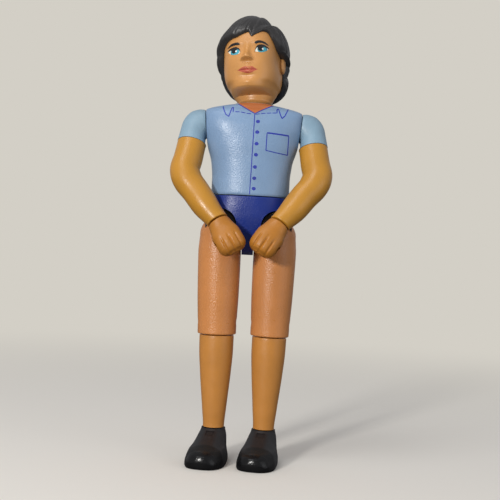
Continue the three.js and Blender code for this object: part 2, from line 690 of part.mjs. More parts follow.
// Arm: spigot in the sleeve, a fixed bend at the elbow, and a stepped bore for the hand's peg.
function arm() {
  const start = hemCentre.clone().addScaledVector(armAxisAtHem, runningGap);
  const curve = new THREE.CatmullRomCurve3(
    [
      start,
      start.clone().lerp(elbowPoint, 0.55).add(v(0.15, 0, 0)),
      elbowPoint.clone().add(v(0, 0, 1)),
      elbowPoint.clone().lerp(wristPoint, 0.2).add(v(1.1, 0.02, 0.6)),
      elbowPoint.clone().lerp(wristPoint, 0.42).add(v(0.55, 0.02, 0.35)),
      elbowPoint.clone().lerp(wristPoint, 0.7).add(v(0.4, 0, -0.25)),
      wristPoint,
    ],
    false,
    "centripetal",
  );
  const radius = smooth([
    [0, upperArmRadius],
    [0.2, upperArmRadius + 0.1],
    [0.38, elbowRadius],
    [0.55, elbowRadius - 0.3],
    [0.75, (elbowRadius + wristRadius) / 2 + 0.2],
    [1, wristRadius],
  ]);
  const rings = ladder(0, 1, 12).map((t) => {
    const ahead = curve.getTangentAt(t);
    if (t === 0) ahead.copy(armAxisAtHem);
    if (t === 1) ahead.copy(forearmAxis());
    const front = v(0, -1, 0).addScaledVector(ahead, ahead.y).normalize();
    const across = ahead.clone().cross(front);
    const r = radius(t)[0];
    return Array.from({ length: limbSides }, (_, i) => {
      const angle = (2 * Math.PI * i) / limbSides;
      const point = curve.getPointAt(t).addScaledVector(across, r * Math.cos(angle));
      return point.addScaledVector(front, r * Math.sin(angle));
    });
  });
  const spigot = rod(
    hemCentre.clone().addScaledVector(armAxisAtHem, -spigotLength),
    hemCentre.clone().addScaledVector(armAxisAtHem, 1.5),
    spigotRadius,
  );
  const chamber = wristPegLength + runningGap;
  const bore = turned(
    [
      [0, -chamber],
      [wristCollarRadius + runningGap, -chamber],
      [wristCollarRadius + runningGap, -chamber + 2 + runningGap],
      [wristPegRadius + runningGap, -chamber + 2 + 2 * runningGap],
      [wristPegRadius + runningGap, 2],
      [0, 2],
    ],
    wristPoint,
    forearmAxis(),
  );
  return skin(rings).add(spigot).subtract(bore);
}

// Direction of the forearm at the wrist, which the hand turns about.
function forearmAxis() {
  return wristPoint.clone().sub(elbowPoint).add(v(0.9, 0, 0)).normalize();
}

// Hand: a closed fist with four finger grooves, a grip hole and a collared peg into the forearm.
function hand() {
  const ahead = forearmAxis();
  const front = v(0, -1, 0).addScaledVector(ahead, ahead.y).normalize();
  const across = ahead.clone().cross(front);
  const [a, c] = [fistHalfWidth, fistHalfThickness];
  const at = smooth([
    [runningGap, wristRadius, wristRadius, 2],
    [0.1 * handLength, wristRadius + 0.15, wristRadius - 0.05, 2],
    [0.25 * handLength, a - 0.7, c - 0.2, 2.1],
    [0.46 * handLength, a - 0.05, c, 2.3],
    [0.68 * handLength, a, c + 0.1, 2.4],
    [0.85 * handLength, a - 0.3, c - 0.3, 2.3],
    [0.95 * handLength, a - 1.3, c - 1.1, 2.2],
    [handLength, a - 2.9, c - 2.5, 2],
  ]);
  const tipLevels = ladder(0.92 * handLength, handLength, 2);
  const levels = [...ladder(runningGap, 0.85 * handLength, 6), ...tipLevels];
  const rings = levels.map((t) => {
    const [halfWidth, halfThickness, power] = at(t);
    const knuckles = THREE.MathUtils.smoothstep(t, 0.4 * handLength, 0.6 * handLength);
    const centre = wristPoint.clone().addScaledVector(ahead, t);
    return Array.from({ length: handSides }, (_, i) => {
      const angle = (2 * Math.PI * (i + 0.5)) / handSides;
      const [x, y] = oval(angle, halfWidth, halfThickness, halfThickness, power);
      const betweenFingers = (0.5 + 0.5 * Math.cos((4 * Math.PI * x) / fistHalfWidth)) ** 2;
      const groove = Math.abs(x) < 0.75 * fistHalfWidth ? fingerGroove * betweenFingers : 0;
      const depth = y < 0 ? y + knuckles * groove : y;
      return centre.clone().addScaledVector(across, x).addScaledVector(front, -depth);
    });
  });
  const peg = turned(
    [
      [0, -wristPegLength],
      [wristCollarRadius, -wristPegLength],
      [wristCollarRadius, -wristPegLength + 2],
      [wristPegRadius, -wristPegLength + 2],
      [wristPegRadius, 1],
      [0, 1],
    ],
    wristPoint,
    ahead,
  );
  const gripAt = wristPoint.clone().addScaledVector(ahead, 0.66 * handLength);
  const grip = rod(
    gripAt.clone().addScaledVector(across, -2 * fistHalfWidth),
    gripAt.clone().addScaledVector(across, 2 * fistHalfWidth),
    gripRadius,
  );
  return skin(rings).add(peg).subtract(grip);
}

// Head, in its own frame: origin at the neck ball, the face along -Y.
const up = (share) => -chinDrop + share * (skullHeight + chinDrop);
const headRows = [
  [-chinDrop - 0.25, 5.9, 7.6, 5.8, 2.1],
  [up(0.03), 7.0, faceReach - 2.1, 6.3, 2.2],
  [up(0.1), 8.1, faceReach - 0.9, 7.1, 2.3],
  [up(0.22), faceHalfWidth - 0.4, faceReach - 0.4, 8.3, 2.35],
  [up(0.34), faceHalfWidth - 0.1, faceReach - 0.2, 9.2, 2.35],
  [up(0.46), faceHalfWidth, faceReach, skullBack - 0.2, 2.3],
  [up(0.58), faceHalfWidth + 0.1, faceReach + 0.3, skullBack, 2.3],
  [up(0.7), faceHalfWidth - 0.1, faceReach, skullBack - 0.2, 2.2],
  [up(0.81), faceHalfWidth - 0.8, faceReach - 1.4, skullBack - 1.1, 2.1],
  [up(0.91), faceHalfWidth - 2.4, faceReach - 4, skullBack - 3, 2],
  [up(0.97), faceHalfWidth - 5.2, faceReach - 7.8, skullBack - 5.8, 2],
  [up(1), 1.2, 1.6, 1.4, 2],
];
const headLevels = [
  ...ladder(headRows[0][0], up(0.1), 2),
  ...ladder(up(0.2), up(0.8), 6),
  ...ladder(up(0.88), up(1), 3),
];

function head() {
  const skull = levelBody(headRows, headLevels, headSides);
  const rim = Math.sqrt(neckEndRadius ** 2 - neckRadius ** 2);
  const end = ladder(0, Math.asin(neckRadius / neckEndRadius), 6).map((a) => [
    neckEndRadius * Math.sin(a),
    -neckEndRadius * Math.cos(a),
  ]);
  const neckLine = [...end, [neckRadius, -rim + 2], [neckRadius, 3], [0, 3]];
  const neck = turned(neckLine, v(0, 0, 0), v(0, 0, 1), limbSides);
  const nose = egg(v(0, -faceReach - 0.1, up(0.37)), 1.35, noseReach, 1.5).add(
    egg(v(0, -faceReach + 0.3, up(0.42)), 0.95, 1.3, 2.6),
  );
  const ears = egg(v(-faceHalfWidth - 0.3, 0.9, earRise), 1.1, 1.9, 3).add(
    egg(v(faceHalfWidth + 0.3, 0.9, earRise), 1.1, 1.9, 3),
  );
  const socket = ball(v(0, 0, 0), neckBallRadius + runningGap);
  const widening = Math.tan(neckOpening * degrees);
  const openingAt = (depth) => [neckPostRadius + runningGap + 0.1 + depth * widening, depth];
  const [from, to] = [neckBallRadius / 2, 2 * neckEndRadius];
  const coneLine = [[0, from], openingAt(from), openingAt(to), [0, to]];
  const cone = turned(coneLine, v(0, 0, 0), v(0, 0, -1), ballSides);
  return skull.add(neck).add(nose).add(ears).subtract(socket).subtract(cone);
}

// Hair: one moulded cap over the skull, open round the face, with a swept fringe and a nape.
function hair() {
  const [w, f, b] = [hairHalfWidth, hairFront, hairBack];
  const rise = (share) => -napeDrop + share * (hairHeight + napeDrop);
  const rows = [
    [rise(0), w - 4.2, 5, b - 3.2, 2],
    [rise(0.11), w - 2.1, 8, b - 1.2, 2.1],
    [rise(0.25), w - 0.9, f - 2, b - 0.2, 2.2],
    [rise(0.4), w - 0.1, f - 0.4, b, 2.2],
    [rise(0.54), w, f, b, 2.2],
    [rise(0.67), w - 0.9, f - 0.2, b - 0.4, 2.1],
    [rise(0.81), w - 3, f - 2.2, b - 1.8, 2],
    [rise(0.92), w - 6.2, f - 5.8, b - 4.8, 2],
    [rise(0.98), w - 9.4, f - 9.8, b - 8.8, 2],
    [rise(1), 0.9, 1.4, 1.2, 2],
  ];
  const levels = [...ladder(rise(0), rise(0.81), 8), ...ladder(rise(0.88), rise(1), 4)];
  const outer = levelBody(rows, levels, headSides);
  const skullRoom = levelBody(headRows, headLevels, headSides, -runningGap);
  const neckRoom = rod(v(0, 0, -12), v(0, 0, 3), neckRadius + runningGap, limbSides);
  const earRoom = egg(v(-faceHalfWidth - 0.3, 0.9, earRise), 1.4, 2.2, 3.3).add(
    egg(v(faceHalfWidth + 0.3, 0.9, earRise), 1.4, 2.2, 3.3),
  );
  const face = new THREE.Shape();
  const hairline = [
    [-faceHalfWidth - 0.1, -far],
    [-faceHalfWidth - 0.1, up(0.38)],
    [-faceHalfWidth + 0.3, up(0.5)],
    [-faceHalfWidth + 2.2, up(0.6)],
    [-1.6, up(0.7)],
    [-0.5, up(0.62)],
    [3.4, up(0.7)],
    [6.6, up(0.68)],
    [faceHalfWidth - 0.9, up(0.55)],
    [faceHalfWidth - 0.2, up(0.42)],
    [far, up(0.42)],
    [far, -far],
  ];
  face.setFromPoints(hairline.map(([x, z]) => new THREE.Vector2(x, z)));
  const faceCut = plate(face, "y", -far, -1.4);
  // The hair keeps close to the temples: its front edge leans back from the fringe to the ear.
  const temple = new THREE.Shape();
  const templeLine = [
    [-far, -far],
    [-5, -far],
    [-5, 8.5],
    [-6.6, 10.5],
    [-9.3, 12.6],
    [-11.5, 13.4],
    [-far, 13.4],
  ];
  temple.setFromPoints(templeLine.map(([y, z]) => new THREE.Vector2(y, z)));
  const templeCuts = plate(temple, "x", 6.5, far).add(plate(temple, "x", -far, -6.5));
  const behindEar = 2.9;
  const leftCheekCut = block(v(0, -far, -far), v(far, behindEar, earRise + 1.6));
  const rightCheekCut = block(v(-far, -far, -far), v(0, behindEar, earRise - 5.5));
  let cap = outer;
  const tools = [skullRoom, neckRoom, earRoom, faceCut, templeCuts, leftCheekCut, rightCheekCut];
  for (const tool of tools) cap = cap.subtract(tool);
  return cap;
}

// Puts pieces in a group of their own, placed and turned for one side of the body.
function group(position, turn, side, ...pieces) {
  const made = new THREE.Group();
  made.position.set(side * position.x, position.y, position.z);
  made.rotation.set(turn.x, side * turn.y, side * turn.z, "ZYX");
  made.add(...pieces);
  return made;
}

function armGroup(side) {
  const name = side > 0 ? "left_" : "right_";
  return group(
    shoulderSeat,
    v(-armSwing * degrees, shoulderTilt * degrees, 0),
    side,
    piece(name + "sleeve", sleeve(), sleevePlastic, side),
    piece(name + "arm", arm(), skinPlastic, side),
    piece(name + "hand", hand(), skinPlastic, side),
  );
}

function legGroup(side) {
  const name = side > 0 ? "left_" : "right_";
  return group(
    hipCentre,
    v(0, legLean, 0),
    side,
    piece(name + "hip_block", hipBlock(), blackPlastic, side),
    piece(name + "hip_pin", crossPin(0, domeRadius), pinSteel, side),
    piece(name + "thigh", thigh(), thighPlastic, side),
    piece(name + "knee_pin", crossPin(kneeZ, thighRimRadius), pinSteel, side),
    piece(name + "shin", shin(), shinPlastic, side),
  );
}

function shoeGroup(side) {
  const made = piece(side > 0 ? "left_shoe" : "right_shoe", shoe(), blackPlastic, side);
  return group(v(ankleHalfSpacing, 0, 0), v(0, 0, -side * shoeYaw * degrees), side, made);
}

const figure = new THREE.Group();
const [torsoFront, torsoBack] = torsoHalves();
figure.add(
  piece("torso_front", torsoFront, shirtPlastic),
  piece("torso_back", torsoBack, shirtPlastic),
  piece("pelvis", pelvis(), pelvisPlastic),
  piece("waist_stud", waistStud(), studPlastic),
  piece("neck_stud", neckStud(), studPlastic),
);
for (const side of [1, -1]) figure.add(armGroup(side), legGroup(side), shoeGroup(side));
figure.add(
  group(
    v(0, 0, neckBallZ),
    v(-headLift * degrees, -headTilt * degrees, -headTurn * degrees),
    1,
    piece("head", head(), skinPlastic),
    piece("hair", hair(), hairPlastic),
  ),
);

// The origin lies on the floor, below the middle of the figure's bounding box.
const extent = new THREE.Box3().setFromObject(figure, true);
const middle = extent.getCenter(v(0, 0, 0));
figure.position.set(-middle.x, -middle.y, -extent.min.z);

export default figure;
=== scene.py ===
import json

import bpy
import numpy as np
from mathutils import Matrix, Vector

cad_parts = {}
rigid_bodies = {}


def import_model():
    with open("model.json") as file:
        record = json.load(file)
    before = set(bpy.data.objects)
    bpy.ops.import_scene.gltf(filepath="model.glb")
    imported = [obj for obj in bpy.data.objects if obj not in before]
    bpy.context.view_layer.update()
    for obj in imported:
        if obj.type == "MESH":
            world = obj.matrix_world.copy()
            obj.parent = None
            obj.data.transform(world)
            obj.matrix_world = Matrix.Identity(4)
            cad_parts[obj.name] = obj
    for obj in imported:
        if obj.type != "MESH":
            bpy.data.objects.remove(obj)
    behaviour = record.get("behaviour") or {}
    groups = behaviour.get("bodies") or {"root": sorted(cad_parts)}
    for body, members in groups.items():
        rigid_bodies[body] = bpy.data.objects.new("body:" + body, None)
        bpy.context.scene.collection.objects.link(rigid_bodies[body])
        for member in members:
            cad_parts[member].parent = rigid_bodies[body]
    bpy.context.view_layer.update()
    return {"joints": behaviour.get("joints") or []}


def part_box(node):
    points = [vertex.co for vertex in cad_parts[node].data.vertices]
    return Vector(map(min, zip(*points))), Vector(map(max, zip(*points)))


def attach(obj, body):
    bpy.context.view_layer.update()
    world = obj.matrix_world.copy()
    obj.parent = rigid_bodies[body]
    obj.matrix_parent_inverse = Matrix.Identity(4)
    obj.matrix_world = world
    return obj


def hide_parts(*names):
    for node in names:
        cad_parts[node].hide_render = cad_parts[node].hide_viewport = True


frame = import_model()

# Camera: level, straight in front of the body and a little below its middle. It is rolled, so that
# the body's top leans to the right of the picture.
mm = 0.001


def new_object(name, data):
    """A new object, linked into the scene."""
    made = bpy.data.objects.new(name, data)
    bpy.context.scene.collection.objects.link(made)
    return made


pin_low, pin_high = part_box("left_knee_pin")
body_y = (pin_low.y + pin_high.y) / 2 / mm
camera_x, camera_distance, camera_height = 0.9, 330, 70.8
sensor_width, focal_length_px, picture_width_px = 36, 981, 500
roll = np.radians(2.9)

camera = new_object("camera", bpy.data.cameras.new("camera"))
camera.data.sensor_width = sensor_width
camera.data.lens = sensor_width * focal_length_px / picture_width_px
camera.data.clip_start, camera.data.clip_end = 0.01, 20
right = (np.cos(roll), 0, np.sin(roll))
above = (-np.sin(roll), 0, np.cos(roll))
camera.matrix_world = Matrix(
    (
        (right[0], above[0], 0, camera_x * mm),
        (right[1], above[1], -1, (body_y - camera_distance) * mm),
        (right[2], above[2], 0, camera_height * mm),
        (0, 0, 0, 1),
    )
)
bpy.context.scene.camera = camera


# Floor and light: a plain pale table top and surround, one lamp beside the camera on its left, a weak
# soft one high above it and another low on the right.
def colour(red, green, blue):
    """Colour written from 0 to 255, as linear light: ((c + 0.055) / 1.055) ** 2.4 for each channel c."""
    c = np.array([red, green, blue]) / 255
    return (*(((c + 0.055) / 1.055) ** 2.4), 1)


def lamp(name, place, size, power, tint=(1, 1, 1)):
    """A square area lamp at a place in millimetres, turned towards the figure's chest."""
    made = new_object(name, bpy.data.lights.new(name, "AREA"))
    made.data.size, made.data.energy, made.data.color = size * mm, power, tint
    made.location = [value * mm for value in place]
    chest = Vector((0, 0, 0.08))
    made.rotation_euler = (chest - made.location).to_track_quat("-Z", "Y").to_euler()


def add(tree, kind, feeds=None, **settings):
    """A shader node of a kind with its settings. Each input in feeds gets its value, or is linked to the
    output given for it."""
    made = tree.nodes.new("ShaderNode" + kind)
    for name, value in settings.items():
        setattr(made, name, value)
    for name, value in (feeds or {}).items():
        if isinstance(value, bpy.types.NodeSocket):
            tree.links.new(value, made.inputs[name])
        else:
            made.inputs[name].default_value = value
    return made


lamp("key_lamp", (-290, -575, 200), 75, 2.65, (1, 0.98, 0.95))
lamp("top_lamp", (-250, -300, 650), 300, 1.15)
lamp("low_lamp", (520, -380, 150), 400, 0.58, (0.93, 0.96, 1))

backdrop_colour = colour(211, 207, 198)
world = bpy.data.worlds.new("surround")
bpy.context.scene.world = world
world.use_nodes = True
tree = world.node_tree
fill_light = tree.nodes["Background"]
fill_light.inputs["Color"].default_value = (0.97, 0.97, 1.0, 1)
fill_light.inputs["Strength"].default_value = 0.43
seen = add(tree, "Background", {"Color": backdrop_colour})
camera_ray = add(tree, "LightPath").outputs["Is Camera Ray"]
either = add(tree, "MixShader", {0: camera_ray, 1: fill_light.outputs[0], 2: seen.outputs[0]})
tree.links.new(either.outputs[0], tree.nodes["World Output"].inputs["Surface"])
bpy.context.scene.view_settings.view_transform = "Standard"

half_floor = 3.0
corners = [(x * half_floor, y * half_floor, 0) for x, y in ((-1, -1), (1, -1), (1, 1), (-1, 1))]
floor_mesh = bpy.data.meshes.new("floor")
floor_mesh.from_pydata(corners, [], [(0, 1, 2, 3)])
floor = new_object("floor", floor_mesh)
floor_material = bpy.data.materials.new("pale_table_top")
floor_material.use_nodes = True
tree = floor_material.node_tree
floor_shader = tree.nodes["Principled BSDF"]
floor_shader.inputs["Roughness"].default_value = 0.8
camera_ray = add(tree, "LightPath").outputs["Is Camera Ray"]
tones = {"Factor": camera_ray, "A": colour(100, 98, 99), "B": colour(238, 234, 226)}
tone = add(tree, "Mix", tones, data_type="RGBA")
tree.links.new(tone.outputs["Result"], floor_shader.inputs["Base Color"])
away = add(tree, "VectorMath", {0: add(tree, "TexCoord").outputs["Object"]}, operation="LENGTH")
fade_out = {"Value": away.outputs["Value"], "From Min": 0.06, "From Max": 0.5}
far = add(tree, "MapRange", fade_out, interpolation_type="SMOOTHSTEP")
seen_far = add(tree, "Math", {0: far.outputs["Result"], 1: camera_ray}, operation="MULTIPLY")
plain = add(tree, "Emission", {"Color": backdrop_colour})
surfaces = {0: seen_far.outputs[0], 1: floor_shader.outputs[0], 2: plain.outputs[0]}
either = add(tree, "MixShader", surfaces)
tree.links.new(either.outputs[0], tree.nodes["Material Output"].inputs["Surface"])
floor_mesh.materials.append(floor_material)


# Torso: two hollow shells of pale blue plastic with a fine sand-blasted skin, joined along the sides.
# Each half is made as a stack of D-shaped sections; the neck's dish is sunk into the top.
def cubic(s, size, low, high, slope_low, slope_high):
    """Cubic piece from a low to a high value with a slope at each end, at the share s of its length."""
    start = (2 * s**3 - 3 * s**2 + 1) * low + (s**3 - 2 * s**2 + s) * size * slope_low
    return start + (3 * s**2 - 2 * s**3) * high + (s**3 - s**2) * size * slope_high


def curves(rows):
    """Smooth curves through rows [t, value, ...]: cubic pieces whose slope at a row is the harmonic mean
    of the slopes beside it, and zero where they differ in sign, so that nothing overshoots."""
    table = np.array(rows, float)
    t, values = table[:, 0], table[:, 1:]
    step = np.diff(t)[:, None]
    rise = np.diff(values, axis=0) / step
    slope = np.zeros_like(values)
    before, after = rise[:-1], rise[1:]
    agree = before * after > 0
    total = np.where(agree, before + after, 1)
    slope[1:-1] = np.where(agree, 2 * before * after / total, 0)

    def at(where):
        where = np.clip(np.asarray(where, float), t[0], t[-1])
        k = np.clip(np.searchsorted(t, where, side="right") - 1, 0, len(t) - 2)
        s = ((where - t[k]) / step[k, 0])[..., None]
        return cubic(s, step[k], values[k], values[k + 1], slope[k], slope[k + 1])

    return at


def oval(angle, half_width, front, back, power):
    """Oval section: |x / half width| ** power + |y / reach| ** power = 1, its front towards -y."""
    cosine, sine = np.cos(angle), np.sin(angle)
    x = half_width * np.sign(cosine) * np.abs(cosine) ** (2 / power)
    y = np.sign(sine) * np.abs(sine) ** (2 / power)
    return x, np.where(y < 0, front, back) * y


def stack(x, y, z):
    """Rings of points from arrays whose first axis is the level and whose second goes round."""
    return np.stack(np.broadcast_arrays(x, y, z), axis=-1).astype(float)


def skin(rings):
    """Closed surface over rings: quads between neighbours, and each end fanned to its ring's centre. The
    faces are turned round if the volume that they enclose comes out negative."""
    levels, sides = rings.shape[:2]
    ring = np.arange(levels - 1)[:, None] * sides
    i = np.arange(sides)[None, :]
    j = (i + 1) % sides
    quads = np.stack([ring + i, ring + j, ring + sides + j, ring + sides + i], -1).reshape(-1, 4)
    hubs = np.array([rings[0].mean(0), rings[-1].mean(0)])
    low, high = levels * sides, levels * sides + 1
    last = (levels - 1) * sides
    i, j = i[0], j[0]
    foot = np.stack([np.full(sides, low), j, i], -1)
    head_fan = np.stack([np.full(sides, high), last + i, last + j], -1)
    points = np.concatenate([rings.reshape(-1, 3), hubs])
    a, b, c, d = [points[quads[:, k]] - hubs[0] for k in range(4)]
    faces = quads.tolist() + foot.tolist() + head_fan.tolist()
    if np.einsum("ij,ij->", a, np.cross(b, c) + np.cross(c, d)) < 0:
        faces = [face[::-1] for face in faces]
    return points, faces


def mesh_of(name, points, faces):
    """A mesh of points and faces."""
    mesh = bpy.data.meshes.new(name)
    mesh.from_pydata(points.tolist(), [], [list(face) for face in faces])
    return mesh


def piece(name, surface, material, body, nodes=(), crease=40):
    """A finished piece from points in millimetres about the body's middle plane and its faces."""
    mesh = mesh_of(name, (surface[0] + [0, body_y, 0]) * mm, surface[1])
    mesh.validate()
    mesh.materials.append(material)
    mesh.shade_smooth()
    mesh.set_sharp_from_angle(angle=np.radians(crease))
    made = new_object(name, mesh)
    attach(made, body)
    if nodes:
        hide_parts(*nodes)
    return made


def moulded(name, tone, roughness, grain=0.3, height=0.012, mottle=0.05, stretch=None):
    """Moulded plastic: tone and roughness drift a little in soft clouds, and a fine grain of the given
    size in millimetres stands out as bumps. A stretch draws the pattern out along the axes."""
    gloss_drift = 0.06
    material = bpy.data.materials.new(name)
    material.use_nodes = True
    tree = material.node_tree
    place = add(tree, "TexCoord").outputs["Object"]
    if stretch:
        place = add(tree, "Mapping", {"Vector": place, "Scale": stretch}).outputs["Vector"]

    def noise(size, detail):
        """Soft noise whose blotches are about a size in millimetres across."""
        feeds = {"Vector": place, "Scale": 1 / (size * mm), "Detail": detail}
        return add(tree, "TexNoise", feeds).outputs["Fac"]

    def spread(source, low, high):
        """The middle of the noise's range, 0.3 to 0.7, spread over low to high."""
        feeds = {"Value": source, "From Min": 0.3, "From Max": 0.7, "To Min": low, "To Max": high}
        return add(tree, "MapRange", feeds).outputs["Result"]

    darker, lighter = [(*[c * (1 + drift) for c in colour(*tone)[:3]], 1) for drift in (-mottle, mottle)]
    clouds = {"Factor": spread(noise(7, 3), 0, 1), "A": darker, "B": lighter}
    bumps = {"Distance": height * mm, "Strength": 1.0, "Height": noise(grain, 2)}
    sources = {
        "Base Color": add(tree, "Mix", clouds, data_type="RGBA").outputs["Result"],
        "Roughness": spread(noise(2.5, 2), roughness - gloss_drift, roughness + gloss_drift),
        "Normal": add(tree, "Bump", bumps).outputs["Normal"],
    }
    for socket, source in sources.items():
        tree.links.new(source, tree.nodes["Principled BSDF"].inputs[socket])
    return material


waist_z, collar_z, shoulder_z, neck_ball_z = 88.7, 119.4, 112.6, 125.0
half_seam, dish_radius, dish_rim, post_hole = 0.05, 8.15, 5.8, 1.95
seat_x, seat_lean, seat_reach, seat_softness = 15.85, 4.7, 9, 0.22


def torso_level(share):
    """Height at a share of the way up from the waist to the collar's edge."""
    return waist_z + share * (collar_z - waist_z)


torso_at = curves([
    [torso_level(0), 13.05, 9.2, 9.2, 2.3],
    [torso_level(0.17), 13.05, 9.2, 8.9, 2.3],
    [torso_level(0.35), 13.55, 9.3, 8.8, 2.35],
    [torso_level(0.58), 15.7, 9.5, 9.0, 2.45],
    [torso_level(0.74), 16.9, 9.3, 9.0, 2.75],
    [torso_level(0.865), 16.9, 8.4, 8.2, 3],
    [torso_level(0.917), 16.3, 7.5, 7.5, 2.8],
    [torso_level(0.943), 14.7, 6.9, 7.0, 2.5],
    [torso_level(0.975), 10.6, 6.5, 6.5, 2.2],
    [torso_level(1), 6.7, 6.1, 6.1, 2],
])


def seat_limit(x, z):
    """Keeps x within the shoulder's flat seat, which leans outwards at the top, with an edge rounded by
    a smooth minimum: -k * log(exp(-a / k) + exp(-b / k))."""
    seat, k, size = seat_x + np.tan(np.radians(seat_lean)) * (z - shoulder_z), seat_softness, np.abs(x)
    low = np.minimum(size, seat)
    rounded = low - k * np.log(np.exp((low - size) / k) + np.exp((low - seat) / k))
    return np.sign(x) * np.where(np.abs(z - shoulder_z) < seat_reach, rounded, size)


def torso_half(side):
    """D-shaped rings, curved towards -y for side -1 and +y for side 1, flat along the seam between the
    shells: up the outside from an edge drawn in by 0.25 mm, over the collar's edge and down the dish's
    sphere to the neck's post."""
    arc = np.linspace(0, np.pi, 180)
    lower = np.linspace(waist_z, torso_level(0.86), 70)
    levels = np.concatenate([lower, np.linspace(torso_level(0.862), collar_z, 60)])[:, None]
    x, y = oval(side * arc, *torso_at(levels[:, 0]).T[:, :, None])
    drawn_in = 0.25 * np.exp(-((levels - waist_z) / 0.18))
    outside = stack(seat_limit(x, levels) * (1 - drawn_in / 12), y * (1 - drawn_in / 9), levels)
    dip = np.linspace(np.arcsin(dish_rim / dish_radius), np.arcsin(post_hole / dish_radius), 14)[:, None]
    across, deep = dish_radius * np.sin(dip) * np.cos(arc), dish_radius * np.sin(dip) * np.sin(arc)
    dish = stack(across, side * deep, neck_ball_z - dish_radius * np.cos(dip))
    rings = np.concatenate([outside, dish])
    rings[..., 1] += side * half_seam
    return skin(rings)


shirt_plastic = moulded("shirt_plastic", (126, 154, 187), 0.36, grain=0.46, height=0.085, mottle=0.04)
piece("torso_front_shell", torso_half(-1), shirt_plastic, "torso", ["torso_front"])
piece("torso_back_shell", torso_half(1), shirt_plastic, "torso", ["torso_back"])


# Shirt front: dark blue lines printed on the torso, a film of ink some hundredths of a millimetre
# thick that follows the plastic, and the throat painted in skin colour inside the open collar.
def front_of(at, x, z):
    """Front of a form of level ovals at a place across and up:
    y = -front * (1 - |x / half width| ** power) ** (1 / power)."""
    half_width, front, back, power = np.moveaxis(at(z), -1, 0)
    share = np.clip(np.abs(x) / half_width, 0, 0.999) ** power
    return -front * (1 - share) ** (1 / power)


def torso_front_y(x, z):
    """The torso's front at a place across and up: its form's front, moved forwards by half the seam."""
    return front_of(torso_at, x, z) - half_seam


def inlay(x, z, surface_y, height=0.03, depth=0.06):
    """Thin closed patch over a grid of places (x, z) on a surface y(x, z): its front lies height before
    the surface and its back lies depth behind it; the rim joins the two."""
    rows, columns = x.shape
    y = surface_y(x, z)
    points = np.concatenate([stack(x, y + shift, z).reshape(-1, 3) for shift in (-height, depth)])
    i = (np.arange(rows - 1)[:, None] * columns + np.arange(columns - 1)[None, :]).reshape(-1)
    front = np.stack([i, i + 1, i + columns + 1, i + columns], -1)
    behind = front[:, ::-1] + rows * columns
    top_row = np.arange(columns) + (rows - 1) * columns
    rim = np.concatenate(
        [
            np.arange(columns)[:-1],
            np.arange(rows)[:-1] * columns + columns - 1,
            top_row[:0:-1],
            np.arange(rows)[:0:-1] * columns,
        ]
    )
    beyond = np.roll(rim, -1)
    sides = np.stack([beyond, rim, rim + rows * columns, beyond + rows * columns], -1)
    return points, np.concatenate([front, behind, sides]).tolist()


def joined(*surfaces):
    """Several closed surfaces as one."""
    points, faces, start = [], [], 0
    for some_points, some_faces in surfaces:
        points.append(some_points)
        faces += [[corner + start for corner in face] for face in some_faces]
        start += len(some_points)
    return np.concatenate(points), faces


def run_along(places):
    """Length of the path from the first place to each one."""
    return np.concatenate([[0], np.cumsum(np.linalg.norm(np.diff(places, axis=0), axis=1))])


def pen_line(places, width, surface_y, height=0.03):
    """A pen stroke through places (x, z): the path is walked in short equal steps and laid out by half
    the width to each side, at right angles to the way it runs."""
    places = np.array(places, float)
    run = run_along(places)
    steps = max(3, int(run[-1] / 0.12))
    t = np.linspace(0, run[-1], steps)
    x, z = np.interp(t, run, places[:, 0]), np.interp(t, run, places[:, 1])
    ahead_x, ahead_z = np.gradient(x), np.gradient(z)
    size = np.hypot(ahead_x, ahead_z)
    taper = 0.55 + 0.45 * np.clip(np.minimum(t, run[-1] - t) / 0.35, 0, 1)
    across = np.array([-0.5, 0, 0.5])[:, None] * width * taper
    return inlay(x - across * ahead_z / size, z + across * ahead_x / size, surface_y, height)


def between(x, low, high, surface_y, height=0.03):
    """A filled patch between a lower and an upper line over the same places x."""
    share = np.linspace(0, 1, 9)[:, None]
    low, high = np.minimum(low, high - 0.01), np.maximum(high, low + 0.01)
    return inlay(x + 0 * share, low + share * (high - low), surface_y, height)


def disc(x, z, radius_x, radius_z, surface_y, height=0.03):
    """A filled round dot: its half height at each place across is radius * cos(turn)."""
    turn = np.linspace(-np.pi / 2, np.pi / 2, 25)
    half = radius_z * np.cos(turn)
    return between(x + radius_x * np.sin(turn), z - half, z + half, surface_y, height)


collar_right = [(-10.4, 117.9), (-9.9, 116.2), (-9.3, 114.9), (-8.3, 114.2), (-7.8, 115.7), (-7.35, 117.4)]
collar_right_fold = [(-7.4, 117.3), (-6.95, 117.5), (-6.9, 116.6), (-6.95, 115.7)]
collar_left = [(11.3, 118.3), (10.7, 116.6), (10.1, 115.3), (9.25, 114.4), (8.7, 115.4), (8.15, 117.1)]
collar_left_fold = [(8.2, 117.1), (7.85, 117.8), (7.45, 117.4), (7.5, 116.1)]
seam_right = [(-6.4, 115.9), (-4.4, 115.9), (-2.2, 115.5), (0.2, 115.3)]
seam_left = [(0.2, 115.3), (2.0, 115.6), (3.7, 115.9), (7.4, 116.2)]
placket = [(0.2, 115.5), (0.15, 109.4), (0.05, 104.0), (-0.05, 96.0), (-0.2, 88.95)]
pocket_sides = [(4.55, 109.3), (4.45, 103.6), (8.0, 103.0), (11.65, 102.6), (11.75, 108.9)]
pocket_hem = [(4.5, 109.35), (8.2, 109.1), (11.8, 108.85)]
throat_right = [(-5.45, 118.85), (-3.75, 117.85), (0.2, 115.55)]
throat_left = [(0.2, 115.55), (3.25, 117.3), (6.65, 119.05)]

